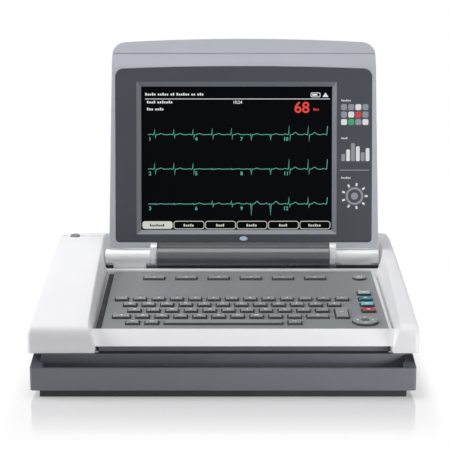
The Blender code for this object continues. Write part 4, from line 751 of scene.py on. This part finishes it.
def key_row(node, legends, dish=CAP_DISH):
    """Replaces the keys of a node with dished caps, and prints their legends."""
    body = NODES[node]["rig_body"]
    work = bmesh.new()
    caps = caps_of(node, dish)
    for cap in caps:
        cap.build(work)
    bar_of(node, work)
    # The caps' tops take the lighter grey as painted light, and their sides the darker grey as painted
    # shade
    look = "key_lit_grey" if SLOTS[node] == "deck_grey" else SLOTS[node]
    piece = add_piece(node + "_caps", work, look, body, second=("key_shade_grey", on_side))
    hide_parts(node)
    marks = bmesh.new()
    for cap, legend in zip(caps, legends):
        if callable(legend):
            legend(marks, cap)
        elif legend:
            lettering(marks, legend, (cap.cx, cap.cy + LEGEND_RISE), LEGEND_HEIGHT, PRINT_LOW, PRINT_HIGH,
                      DECK, cap.height)
    if marks.verts:
        add_piece(node + "_legends", marks, "legend_white", body, smooth=False)
    else:
        marks.free()


def arrow_legend(turns):
    """An arrow on a cap, turned by that share of a circle."""
    def draw(work, cap):
        swing = Matrix.Rotation(TURN * turns, 2)
        shape = [swing @ Vector(p) * ARROW for p in ARROW_SHAPE]
        outline = [(cap.cx + p.x, cap.cy + LEGEND_RISE + p.y) for p in shape]
        base = cap.height(cap.cx, cap.cy)
        prism(work, outline, base + PRINT_LOW, base + PRINT_HIGH, DECK)
    return draw


def bar_legend(*widths):
    """Short bars across a cap, one under another, in place of a word."""
    def draw(work, cap):
        for row, width in enumerate(widths):
            y = cap.cy + LEGEND_RISE + (0.5 * (len(widths) - 1) - row) * WORD_PITCH
            base = cap.height(cap.cx, cap.cy)
            prism(work, rounded_loop(cap.cx - 0.5 * width, y - WORD_HALF, cap.cx + 0.5 * width,
                                     y + WORD_HALF, WORD_CORNER, 2, 0),
                  base + PRINT_LOW, base + PRINT_HIGH, DECK)
    return draw


ARROW = 1.9 * MM
ARROW_SHAPE = ((-1.0, -0.25), (0.1, -0.25), (0.1, -0.7), (1.0, 0.0), (0.1, 0.7), (0.1, 0.25),
               (-1.0, 0.25))
WORD_PITCH = 2.2 * MM
WORD_HALF = 0.55 * MM
WORD_CORNER = 0.3 * MM
SPACE_DISH = 0.1 * MM
WORD = bar_legend(6.0 * MM)
TWO_WORDS = bar_legend(6.4 * MM, 4.4 * MM)
key_row("number_row", list("1234567890-=") + [arrow_legend(0.5)])
key_row("upper_row", list("QWERTYUIOP[]"))
key_row("home_row", list("ASDFGHJKL;'"))
key_row("lower_row", [arrow_legend(0.25)] + list("ZXCVBNM,.") + [arrow_legend(0.25)])
key_row("modifier_row", [WORD, WORD, WORD])
key_row("space_bar", [None], dish=SPACE_DISH)
key_row("enter_key", [arrow_legend(0.5)])
for number in range(1, 7):
    key_row(f"function_key_{number}", [str(number)])
for node in ("record_key", "rhythm_key", "lead_key", "stop_key"):
    key_row(node, [TWO_WORDS])


# The round pad and the power button

def turned(work, centre, profile, peak):
    """A turned body on the deck, from rows of radius and height, ending on a point."""
    loops = []
    for radius, height in profile:
        loops.append([(x, y, height * MM) for x, y in round_loop(*centre, radius * MM, TURN_STEPS)])
    loft(work, loops, DECK, (*centre, peak * MM))


def round_button(node, profile, peak):
    """Replaces a round node with a turned button, and returns its centre on the deck."""
    points = deck_points(node)
    centre = (0.5 * (min(p.x for p in points) + max(p.x for p in points)),
              0.5 * (min(p.y for p in points) + max(p.y for p in points)))
    work = bmesh.new()
    turned(work, centre, profile, peak)
    # The button's top takes the lighter grey as painted light, and its side the darker grey as painted
    # shade
    piece = add_piece(node + "_skin", work, "key_lit_grey", NODES[node]["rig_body"],
                      second=("key_shade_grey", on_side))
    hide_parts(node)
    return centre


TURN_STEPS = 48
PAD_PROFILE = ((12.4, -2.0), (12.78, -1.6), (12.78, 1.9), (12.6, 2.45), (12.1, 2.8), (11.5, 2.95),
               (10.4, 2.92), (8.0, 2.62), (5.2, 2.45), (4.9, 2.62), (4.5, 2.7), (2.4, 2.74))
PAD_PEAK = 2.75
PAD_ARROW_AT = 8.1 * MM
PAD_ARROW = 1.7 * MM
PAD_ARROW_SHAPE = ((-0.7, -1.0), (0.8, 0.0), (-0.7, 1.0))
PAD_PRINT_LOW = 2.42 * MM
PAD_PRINT_HIGH = 2.7 * MM
pad_centre = round_button("trim_pad", PAD_PROFILE, PAD_PEAK)
pad_marks = bmesh.new()
for quarter in range(4):
    swing = Matrix.Rotation(TURN * 0.25 * quarter, 2)
    tip = [swing @ (Vector(p) * PAD_ARROW + Vector((PAD_ARROW_AT, 0.0))) for p in PAD_ARROW_SHAPE]
    prism(pad_marks, [(pad_centre[0] + p.x, pad_centre[1] + p.y) for p in tip],
          PAD_PRINT_LOW, PAD_PRINT_HIGH, DECK)
add_piece("trim_pad_arrows", pad_marks, "legend_white", NODES["trim_pad"]["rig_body"], smooth=False)

# The pad's centre boss is drawn in the same dark grey that paints shade on the key sides
PAD_CENTRE = ((4.2, 2.3), (4.4, 2.5), (4.4, 2.8), (4.1, 2.92), (3.2, 2.94), (1.6, 2.88))
PAD_CENTRE_PEAK = 2.85
centre_boss = bmesh.new()
turned(centre_boss, pad_centre, PAD_CENTRE, PAD_CENTRE_PEAK)
add_piece("trim_pad_centre", centre_boss, "key_shade_grey", NODES["trim_pad"]["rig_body"])

POWER_PROFILE = ((7.0, -2.9), (7.45, -2.5), (7.45, 1.6), (7.3, 2.05), (6.9, 2.3), (6.3, 2.36),
                 (4.5, 2.2), (2.2, 2.06))
POWER_PEAK = 2.0
POWER_LOW = 1.95 * MM
POWER_RING_HIGH = 2.16 * MM
POWER_STROKE_HIGH = 2.26 * MM
POWER_SIGN = 2.6 * MM
POWER_LINE = 0.75 * MM
POWER_GAP = 0.12
POWER_STEPS = 24
POWER_STROKE = (0.4 * MM, 3.4 * MM)
power_x, power_y = round_button("power_button", POWER_PROFILE, POWER_PEAK)
power_mark = bmesh.new()
sweep = [TURN * (0.25 + POWER_GAP + (1.0 - 2.0 * POWER_GAP) * i / POWER_STEPS)
         for i in range(POWER_STEPS + 1)]
ring = [(power_x + POWER_SIGN * math.cos(a), power_y + POWER_SIGN * math.sin(a)) for a in sweep]
ribbon(power_mark, ring, POWER_LINE, POWER_LOW, POWER_RING_HIGH, DECK)
ribbon(power_mark, [(power_x, power_y + reach) for reach in POWER_STROKE], POWER_LINE, POWER_LOW,
       POWER_STROKE_HIGH, DECK)
add_piece("power_button_mark", power_mark, "legend_white", NODES["power_button"]["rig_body"], smooth=False)


# The mouldings that stand for the CAD shells

# The lower case takes a lighter grey; its rim under the front strip keeps the darker grey as painted shade
OWN_LOOKS = {"lower_case": "tray_grey", "hinge_cover": "hinge_dark", "hinge_barrel_left": "hinge_white",
             "hinge_barrel_right": "hinge_white"}
for node, edge in (("lower_case", 0.8), ("front_handle", 0.8), ("front_foot_rail", 0.8),
                   ("rear_foot_left", 0.8), ("rear_foot_right", 0.8), ("battery_door", 0.5),
                   ("upper_case", 0.6), ("writer_door", 0.6), ("door_release_button", 0.3),
                   ("keyboard_panel", 0.3), ("display_rear_shell", 0.5), ("display_bezel", 0.35),
                   ("status_lens", 0.4), ("hinge_cover", 0.5), ("hinge_barrel_left", 0.5),
                   ("hinge_barrel_right", 0.5), ("mains_inlet", 0.4), ("patient_port", 0.3),
                   ("paper_tray", 0.3), ("platen_roller", 0.2), ("lcd_glass", 0.0),
                   ("roller_bracket", 0.2), ("battery_pack", 0.8), ("power_supply", 0.8)):
    skin(node, edge * MM, OWN_LOOKS.get(node, SLOTS[node]))


# A near-black strip that paints the shade in the gap at the left of the keyboard panel

GAP_SHADE_RIGHT = -0.15 * MM
GAP_SHADE_LEFT = -6.2 * MM
GAP_SHADE_FOOT = -7.4 * MM
GAP_SHADE_TOP = -3.2 * MM
GAP_SHADE_ROUND = 1.4 * MM
GAP_SHADE_END = 1.0 * MM
GAP_SHADE_STEPS = 6


def panel_seal():
    """A near-black strip of painted shade, with a rounded crown along the left edge of the panel."""
    crown = [(GAP_SHADE_LEFT + GAP_SHADE_ROUND * (1.0 - math.cos(0.25 * TURN * i / GAP_SHADE_STEPS)),
              GAP_SHADE_TOP - GAP_SHADE_ROUND * (1.0 - math.sin(0.25 * TURN * i / GAP_SHADE_STEPS)))
             for i in range(GAP_SHADE_STEPS + 1)]
    outline = ([(GAP_SHADE_RIGHT, GAP_SHADE_FOOT), (GAP_SHADE_RIGHT, GAP_SHADE_TOP - GAP_SHADE_ROUND)]
               + [(GAP_SHADE_LEFT + GAP_SHADE_RIGHT - x, z) for x, z in crown[1:]]
               + list(reversed(crown)) + [(GAP_SHADE_LEFT, GAP_SHADE_FOOT)])
    depth = max(p.y for p in deck_points("keyboard_panel"))
    loops = [[(x, y, z) for x, z in outline] for y in (depth - GAP_SHADE_END, GAP_SHADE_END)]
    work = bmesh.new()
    loft(work, loops, DECK)
    return work


add_piece("keyboard_gap_shade", panel_seal(), "shadow_black", "base")


# Near-black strips of painted shade: one in the groove under the front strip, a sheet under the hinge
# and lips under its barrels, each given by a low and a high corner

GROOVE = ((-121.9, -149.3, 35.75), (161.9, -148.38, 38.25))
HINGE_SHADE = ((-126.0, 62.4, 60.38), (168.0, 88.0, 60.9))
SHADE_LIP_LEFT = ((-130.4, 64.3, 60.75), (-121.9, 64.95, 67.6))
SHADE_LIP_RIGHT = ((125.0, 64.3, 60.75), (171.9, 64.95, 67.6))
GROOVE_SHADE_CROWN = 0.4
HINGE_CROWN = 0.3
CROWN_STEPS = 5


def strip_along(name, low, high, crown):
    """A near-black strip of painted shade along x between two corners, with its upper front edge rounded.
    """
    (x0, y0, z0), (x1, y1, z1) = low, high
    section = [(y1, z0), (y1, z1)]
    for i in range(CROWN_STEPS + 1):
        angle = 0.25 * TURN * i / CROWN_STEPS
        section.append((y0 + crown * (1.0 - math.sin(angle)), z1 - crown * (1.0 - math.cos(angle))))
    section.append((y0, z0))
    work = bmesh.new()
    loft(work, [[(x, y, z) for y, z in section] for x in (x0, x1)], Matrix.Scale(MM, 4))
    add_piece(name, work, "shadow_black", "base")


strip_along("front_groove_shade", *GROOVE, GROOVE_SHADE_CROWN)
strip_along("hinge_shade_sheet", *HINGE_SHADE, HINGE_CROWN)
strip_along("hinge_shade_lip_left", *SHADE_LIP_LEFT, HINGE_CROWN)
strip_along("hinge_shade_lip_right", *SHADE_LIP_RIGHT, HINGE_CROWN)


# Pale marks beside the release button, in place of words

DOOR_MARKS = ((-183.6, -178.2), (-161.8, -157.2), (-152.6, -146.8), (-145.2, -139.8))
DOOR_MARK_Y = (126.6 * MM, 129.4 * MM)
DOOR_MARK_ROUND = 0.8 * MM
door_surface = BVHTree.FromBMesh(merged("writer_door"))


def on_door(x, y):
    """The height of the door's top there."""
    return door_surface.ray_cast(Vector((x, y, 1.0)), Vector((0.0, 0.0, -1.0)))[0].z


door_marks = bmesh.new()
for x0, x1 in DOOR_MARKS:
    outline = rounded_loop(x0 * MM, DOOR_MARK_Y[0], x1 * MM, DOOR_MARK_Y[1], DOOR_MARK_ROUND, 3, 5)
    loops = [[(x, y, on_door(x, y) + height) for x, y in outline] for height in (PRINT_LOW, PRINT_HIGH)]
    loft(door_marks, loops, Matrix.Identity(4))
add_piece("door_marks", door_marks, "print_pale", NODES["writer_door"]["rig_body"],
          smooth=False)


# The picture on the screen

SCREEN_HIGH = 0.1 * MM
SCREEN = (0.02 * MM, SCREEN_HIGH, LID)
TRACE_WIDTH = 0.68 * MM
TRACE_START = 7.3 * MM
TRACE_END = 207.0 * MM
TRACE_STEP = 0.45 * MM
TRACE_ROWS = (105.4 * MM, 67.2 * MM, 28.4 * MM)
LEAD_STARTS = (7.3 * MM, 58.6 * MM, 109.0 * MM, 158.4 * MM)

# Rows of leads: the beat's rise, its dip and the rounded hump after it
LEAD_SHAPES = (((5.5, 3.5, 1.2), (7.0, 5.0, 1.2), (0.5, 6.0, 1.0), (9.5, 7.0, 2.4)),
               ((6.5, 6.0, 1.2), (0.8, 0.6, 0.4), (0.5, 6.0, 1.1), (11.0, 5.5, 2.2)),
               ((0.7, 0.5, 0.4), (3.3, 3.0, 1.2), (0.5, 12.5, 3.0), (7.5, 3.5, 2.0)))

BEAT_FIRST = 14.7 * MM
BEAT_PITCH = 21.3 * MM
BEATS = 10
SPIKE = 0.8 * MM
FIRST_SHARE = 0.35
FIRST_AHEAD = 4.2 * MM
FIRST_WIDTH = 1.3 * MM
LAST_BEHIND = 7.0 * MM
LAST_WIDTH = 2.2 * MM
LEAD_NUMBER = 4.2 * MM
LEAD_NUMBER_AT = (2.2 * MM, -4.6 * MM)


def bump_wave(distance, width):
    """A smooth hump, 1 high at its middle."""
    return math.exp(-((distance / width) ** 2))


def spike_wave(distance, width):
    """A sharp peak, 1 high at its middle."""
    return max(0.0, 1.0 - abs(distance) / width)


def trace_points(row):
    """The line of one row of the chart: a small hump, a sharp beat and a rounded hump, over and over."""
    beats = [BEAT_FIRST + BEAT_PITCH * i for i in range(BEATS)]
    count = int((TRACE_END - TRACE_START) / TRACE_STEP) + 1
    places = {TRACE_START + TRACE_STEP * i for i in range(count)}
    for beat in beats:
        places = {p for p in places if abs(p - beat - 0.5 * SPIKE) > 2.0 * SPIKE}
        places.update(beat + SPIKE * k for k in (-1.0, 0.0, 1.0, 2.0))
    points = []
    for u in sorted(p for p in places if p <= TRACE_END):
        lead = sum(1 for start in LEAD_STARTS if u >= start) - 1
        tall, deep, round_hump = LEAD_SHAPES[row][lead]
        height = 0.0
        for beat in beats:
            height += FIRST_SHARE * round_hump * bump_wave(u - beat + FIRST_AHEAD, FIRST_WIDTH)
            height += tall * spike_wave(u - beat, SPIKE) - deep * spike_wave(u - beat - SPIKE, SPIKE)
            height += round_hump * bump_wave(u - beat - LAST_BEHIND, LAST_WIDTH)
        points.append((u, TRACE_ROWS[row] + height * MM))
    return points


def greeked(work, x, y, height, words, on=SCREEN):
    """Small blocks like letters seen from afar, in words of those counts."""
    pitch = LETTER_PITCH * height
    for word, count in enumerate(words):
        for letter in range(count):
            tall = height * (1.0 if (letter + word) % 3 == 0 else LETTER_LOW)
            block = rounded_loop(x, y, x + LETTER_WIDTH * pitch, y + tall, LETTER_ROUND * height, 2, 0)
            prism(work, block, *on)
            x += pitch
        x += WORD_SPACE * pitch


def framed(work, x0, y0, x1, y1, radius, width):
    """The outline of a rounded box."""
    ribbon(work, rounded_loop(x0, y0, x1, y1, radius, 4, 0), width, *SCREEN, True)


LETTER_PITCH = 0.82
LETTER_WIDTH = 0.66
LETTER_LOW = 0.74
LETTER_ROUND = 0.15
WORD_SPACE = 0.7

# Rows of blocks in place of words: left, foot and letters of each word
WORD_ROWS = ((4.3, 148.6, (5, 5, 2, 6, 2, 3)), (6.3, 139.9, (4, 7)), (6.3, 132.2, (3, 4)))
WORD_HEIGHT = 3.0 * MM
CLOCK_AT = (107.0 * MM, 141.4 * MM)
CLOCK_HEIGHT = 3.4 * MM
RULE = ((4.0 * MM, 144.9 * MM), (209.0 * MM, 144.9 * MM))
RULE_WIDTH = 0.7 * MM
BATTERY = (188.0 * MM, 147.2 * MM, 198.0 * MM, 151.6 * MM)
BATTERY_LINE = 0.8 * MM
CHARGE = (189.2 * MM, 148.3 * MM, 195.0 * MM, 150.5 * MM)
CHARGE_ROUND = 0.3 * MM
ALARM = ((200.6 * MM, 147.0 * MM), (207.4 * MM, 147.0 * MM), (204.0 * MM, 152.0 * MM))
RATE_AT = (178.0 * MM, 136.0 * MM)
RATE_HEIGHT = 12.6 * MM
RATE_WORD = (190.6 * MM, 132.0 * MM, 2.8 * MM, (3,))

# The row of tabs, the first of them filled
TAB_LETTERS = (7, 5, 4, 5, 4, 6)
TAB_LEFT = 1.0 * MM
TAB_PITCH = 35.0 * MM
TAB_WIDTH = 33.4 * MM
TAB_LOW = 0.9 * MM
TAB_HIGH = 9.3 * MM
TAB_ROUND = 2.6 * MM
TAB_LINE = 0.7 * MM
TAB_TEXT = 2.9 * MM
TAB_TEXT_FOOT = 3.4 * MM
TAB_TEXT_PITCH = 2.4 * MM
TAB_INK = (SCREEN_HIGH - 0.02 * MM, SCREEN_HIGH + 0.03 * MM, LID)


def screen_piece(name, work, look):
    """Adds a part of the picture to the display."""
    add_piece(name, work, look, "display", smooth=False)


traces = bmesh.new()
for row in range(3):
    ribbon(traces, trace_points(row), TRACE_WIDTH, *SCREEN)
    for lead, start in enumerate(LEAD_STARTS):
        at = (start + LEAD_NUMBER_AT[0], TRACE_ROWS[row] + LEAD_NUMBER_AT[1])
        lettering(traces, str(3 * lead + row + 1), at, LEAD_NUMBER, *SCREEN)
screen_piece("screen_traces", traces, "lit_trace")

words = bmesh.new()
for x, y, counts in WORD_ROWS:
    greeked(words, x * MM, y * MM, WORD_HEIGHT, counts)
lettering(words, "10:24", CLOCK_AT, CLOCK_HEIGHT, *SCREEN)
ribbon(words, RULE, RULE_WIDTH, *SCREEN)
framed(words, *BATTERY, BATTERY_LINE, BATTERY_LINE)
prism(words, rounded_loop(*CHARGE, CHARGE_ROUND, 2, 0), *SCREEN)
prism(words, ALARM, *SCREEN)
screen_piece("screen_words", words, "lit_white")

rate = bmesh.new()
lettering(rate, "68", RATE_AT, RATE_HEIGHT, *SCREEN)
greeked(rate, *RATE_WORD)
screen_piece("screen_rate", rate, "lit_red")

tabs = bmesh.new()
tab_words = bmesh.new()
for tab, count in enumerate(TAB_LETTERS):
    x0 = TAB_LEFT + TAB_PITCH * tab
    text_left = x0 + 0.5 * (TAB_WIDTH - TAB_TEXT_PITCH * count)
    if tab:
        framed(tabs, x0, TAB_LOW, x0 + TAB_WIDTH, TAB_HIGH, TAB_ROUND, TAB_LINE)
        greeked(tabs, text_left, TAB_TEXT_FOOT, TAB_TEXT, (count,))
    else:
        prism(tabs, rounded_loop(x0, TAB_LOW, x0 + TAB_WIDTH, TAB_HIGH, TAB_ROUND, 4, 0), *SCREEN)
        greeked(tab_words, text_left, TAB_TEXT_FOOT, TAB_TEXT, (count,), TAB_INK)
screen_piece("screen_tabs", tabs, "lit_tab")
screen_piece("screen_tab_words", tab_words, "lit_dark")


# Generic prints on the bezel, right of the screen, measured from the picture's corner

BEZEL = (BEZEL_FACE - 0.06 * MM, BEZEL_FACE + 0.03 * MM, LID)
PRINT_LEFT = 220.0
PRINT_RIGHT = 252.4
HEADINGS = ((221.4, 142.0, 6), (221.4, 100.4, 4), (221.4, 56.6, 6))
HEADING_HEIGHT = 2.2 * MM
GRID = [(row, column) for row in range(3) for column in range(4)]
GRID_INKED = ((0, 1), (1, 2))
GRID_LEFT = PRINT_LEFT + 1.0
GRID_FOOT = 116.0
GRID_PITCH = (7.9, 8.2)
GRID_TILE = 6.6
GRID_ROUND = 1.6
CHART_BARS = (8.0, 13.0, 20.0, 16.5, 10.0, 14.5)
CHART_LEFT = PRINT_LEFT + 1.4
CHART_FOOT = 76.0
CHART_PITCH = 5.4
CHART_WIDTH = 4.2
CHART_ROUND = 1.2
DIVIDER = (PRINT_LEFT, 65.6, PRINT_RIGHT, 66.6, 0.3)
DIAL_X = 236.2
DIAL_Y = 37.4
DIAL_RING = 8.6
DIAL_RING_WIDTH = 2.4 * MM
DIAL_HUB = 4.0
DIAL_TICKS = 9
DIAL_TICK = (11.2, 14.6)
DIAL_TICK_WIDTH = 2.2 * MM


def bezel_print(name, look, build):
    """A print on the bezel's face."""
    work = bmesh.new()
    build(work)
    add_piece(name, work, look, "display", smooth=False)


def tile(work, x0, y0, x1, y1, radius):
    """A rounded tile of ink."""
    prism(work, rounded_loop(x0 * MM, y0 * MM, x1 * MM, y1 * MM, radius * MM, 3, 0), *BEZEL)


def grid_tile(work, row, column):
    """One tile of the grid in the upper group."""
    x = GRID_LEFT + GRID_PITCH[0] * column
    y = GRID_FOOT + GRID_PITCH[1] * row
    tile(work, x, y, x + GRID_TILE, y + GRID_TILE, GRID_ROUND)


def chart_bar(work, index, height):
    """One bar of the chart in the middle group."""
    x = CHART_LEFT + CHART_PITCH * index
    tile(work, x, CHART_FOOT, x + CHART_WIDTH, CHART_FOOT + height, CHART_ROUND)


def shaded(work, dark):
    """The grid's tiles and the chart's bars of one shade."""
    for row, column in GRID:
        if ((row + 2 * column) % 3 > 0) == dark and (row, column) not in GRID_INKED:
            grid_tile(work, row, column)
    for index, height in enumerate(CHART_BARS):
        if (index % 2 == 0) == dark:
            chart_bar(work, index, height)


def white_prints(work):
    """Headings, the lighter tiles of a grid, the lighter bars of a chart, and a dial's ticks."""
    for x, y, count in HEADINGS:
        greeked(work, x * MM, y * MM, HEADING_HEIGHT, (count,), BEZEL)
    shaded(work, False)
    for tick in range(DIAL_TICKS):
        swing = Matrix.Rotation(TURN * tick / DIAL_TICKS, 2)
        ends = [swing @ Vector((reach * MM, 0.0)) for reach in DIAL_TICK]
        ribbon(work, [(DIAL_X * MM + p.x, DIAL_Y * MM + p.y) for p in ends], DIAL_TICK_WIDTH, *BEZEL)


def grey_prints(work):
    """The darker tiles and bars, a line between two groups, and the dial's ring and hub."""
    shaded(work, True)
    tile(work, *DIVIDER)
    ribbon(work, round_loop(DIAL_X * MM, DIAL_Y * MM, DIAL_RING * MM), DIAL_RING_WIDTH, *BEZEL, True)
    prism(work, round_loop(DIAL_X * MM, DIAL_Y * MM, DIAL_HUB * MM, 20), *BEZEL)


bezel_print("bezel_print_white", "legend_white", white_prints)
bezel_print("bezel_print_grey", "print_grey", grey_prints)
bezel_print("bezel_print_green", "print_green", lambda work: grid_tile(work, *GRID_INKED[0]))
bezel_print("bezel_print_red", "print_red", lambda work: grid_tile(work, *GRID_INKED[1]))


# Inner and hidden pieces keep their CAD shape and get their material

for node, obj in NODES.items():
    if not obj.hide_render:
        obj.data.materials.clear()
        obj.data.materials.append(LOOKS[SLOTS[node]])


# The stage

FLOOR_COLOUR = (0.88, 0.88, 0.89, 1.0)
FLOOR_ROUGH = 0.12
FLOOR_GLOSS = 0.09
FLOOR_DULL = 0.14
FLOOR_GRAIN = 6.0 * MM
FLOOR_REACH = 14.0
FLOOR_Z = -0.0002
FLOOR_FOOT = (0.1855, 0.1755, 0.0)
FLOOR_HASTE = (5.0, 1.0, 1.0)
FLOOR_SHARE = 0.27
FLOOR_NEAR = 0.02
FLOOR_FAR = 0.13
WORLD_FILL = 0.02

# Lamps: name, place, aim, width, height and watts
LAMPS = (("left", (-1.3, 0.0, 0.83), (0.0, 0.0, 0.08), 0.7, 0.7, 17.0),
         ("top", (0.0, 0.0, 1.6), (0.0, 0.0, 0.08), 1.2, 1.2, 14.5),
         ("low", (0.62, -0.62, 0.12), (0.1, -0.1, 0.1), 0.35, 0.2, 2.5))


def seen_rays(tree):
    """1 on rays from the camera, from reflections and through glass, else 0."""
    path = tree.nodes.new("ShaderNodeLightPath")
    total = path.outputs["Is Camera Ray"]
    for kind in ("Is Glossy Ray", "Is Transmission Ray"):
        step = tree.nodes.new("ShaderNodeMath")
        step.operation = "MAXIMUM"
        tree.links.new(total, step.inputs[0])
        tree.links.new(path.outputs[kind], step.inputs[1])
        total = step.outputs[0]
    return total


def floor_material():
    """A pale glossy floor that turns to plain white away from the object's foot."""
    tree, shader = start_material("floor", FLOOR_COLOUR, FLOOR_ROUGH, Coat_Weight=1.0,
                                        Coat_Roughness=0.08, Coat_IOR=2.0)
    place = object_place(tree)
    grain = noise(tree, place, FLOOR_GRAIN)
    tree.links.new(spread(tree, grain, FLOOR_GLOSS, FLOOR_DULL), shader.inputs["Roughness"])
    outside = place
    for operation, value in (("ABSOLUTE", None), ("SUBTRACT", FLOOR_FOOT), ("MAXIMUM", (0.0, 0.0, 0.0)),
                             ("MULTIPLY", FLOOR_HASTE), ("LENGTH", None)):
        step = tree.nodes.new("ShaderNodeVectorMath")
        step.operation = operation
        tree.links.new(outside, step.inputs[0])
        if value:
            step.inputs[1].default_value = value
        outside = step.outputs["Value" if operation == "LENGTH" else "Vector"]
    share = spread(tree, outside, FLOOR_SHARE, 1.0, FLOOR_NEAR, FLOOR_FAR, "SMOOTHSTEP")
    seen = tree.nodes.new("ShaderNodeMath")
    seen.operation = "MULTIPLY"
    tree.links.new(share, seen.inputs[0])
    tree.links.new(seen_rays(tree), seen.inputs[1])
    white = tree.nodes.new("ShaderNodeEmission")
    blend = tree.nodes.new("ShaderNodeMixShader")
    tree.links.new(seen.outputs[0], blend.inputs["Fac"])
    tree.links.new(shader.outputs["BSDF"], blend.inputs[1])
    tree.links.new(white.outputs["Emission"], blend.inputs[2])
    tree.links.new(blend.outputs["Shader"], tree.nodes["Material Output"].inputs["Surface"])


def add_floor():
    """The floor under the feet."""
    work = bmesh.new()
    bmesh.ops.create_grid(work, x_segments=8, y_segments=8, size=FLOOR_REACH)
    mesh = bpy.data.meshes.new("floor")
    work.to_mesh(mesh)
    work.free()
    floor_material()
    mesh.materials.append(LOOKS["floor"])
    ground = new_object("floor", mesh)
    ground.location.z = FLOOR_Z


def light_world():
    """White for the camera, reflections and glass, and a weaker even fill for the rest."""
    world = bpy.data.worlds.new("studio")
    world.use_nodes = True
    tree = world.node_tree
    background = tree.nodes["Background"]
    background.inputs["Color"].default_value = (1.0, 1.0, 1.0, 1.0)
    tree.links.new(spread(tree, seen_rays(tree), WORLD_FILL, 1.0, 0.0, 1.0),
                   background.inputs["Strength"])
    bpy.context.scene.world = world


def add_lamp(name, at, target, width, height, power):
    """A soft rectangular lamp aimed at a point."""
    lamp = bpy.data.lights.new(name, "AREA")
    lamp.shape = "RECTANGLE"
    lamp.size = width
    lamp.size_y = height
    lamp.energy = power
    holder = new_object(name, lamp)
    holder.location = at
    holder.rotation_euler = (Vector(target) - Vector(at)).to_track_quat("-Z", "Y").to_euler()


def add_camera():
    """The camera at the photograph's place."""
    lens = bpy.data.cameras.new("camera")
    lens.lens = CAMERA_LENS
    lens.sensor_width = CAMERA_SENSOR
    holder = new_object("camera", lens)
    holder.location = CAMERA_AT
    holder.rotation_euler = (0.5 * math.pi + CAMERA_PITCH, 0.0, 0.0)
    bpy.context.scene.camera = holder


add_floor()
light_world()
for row in LAMPS:
    add_lamp(*row)
add_camera()
bpy.context.scene.view_settings.view_transform = "Standard"
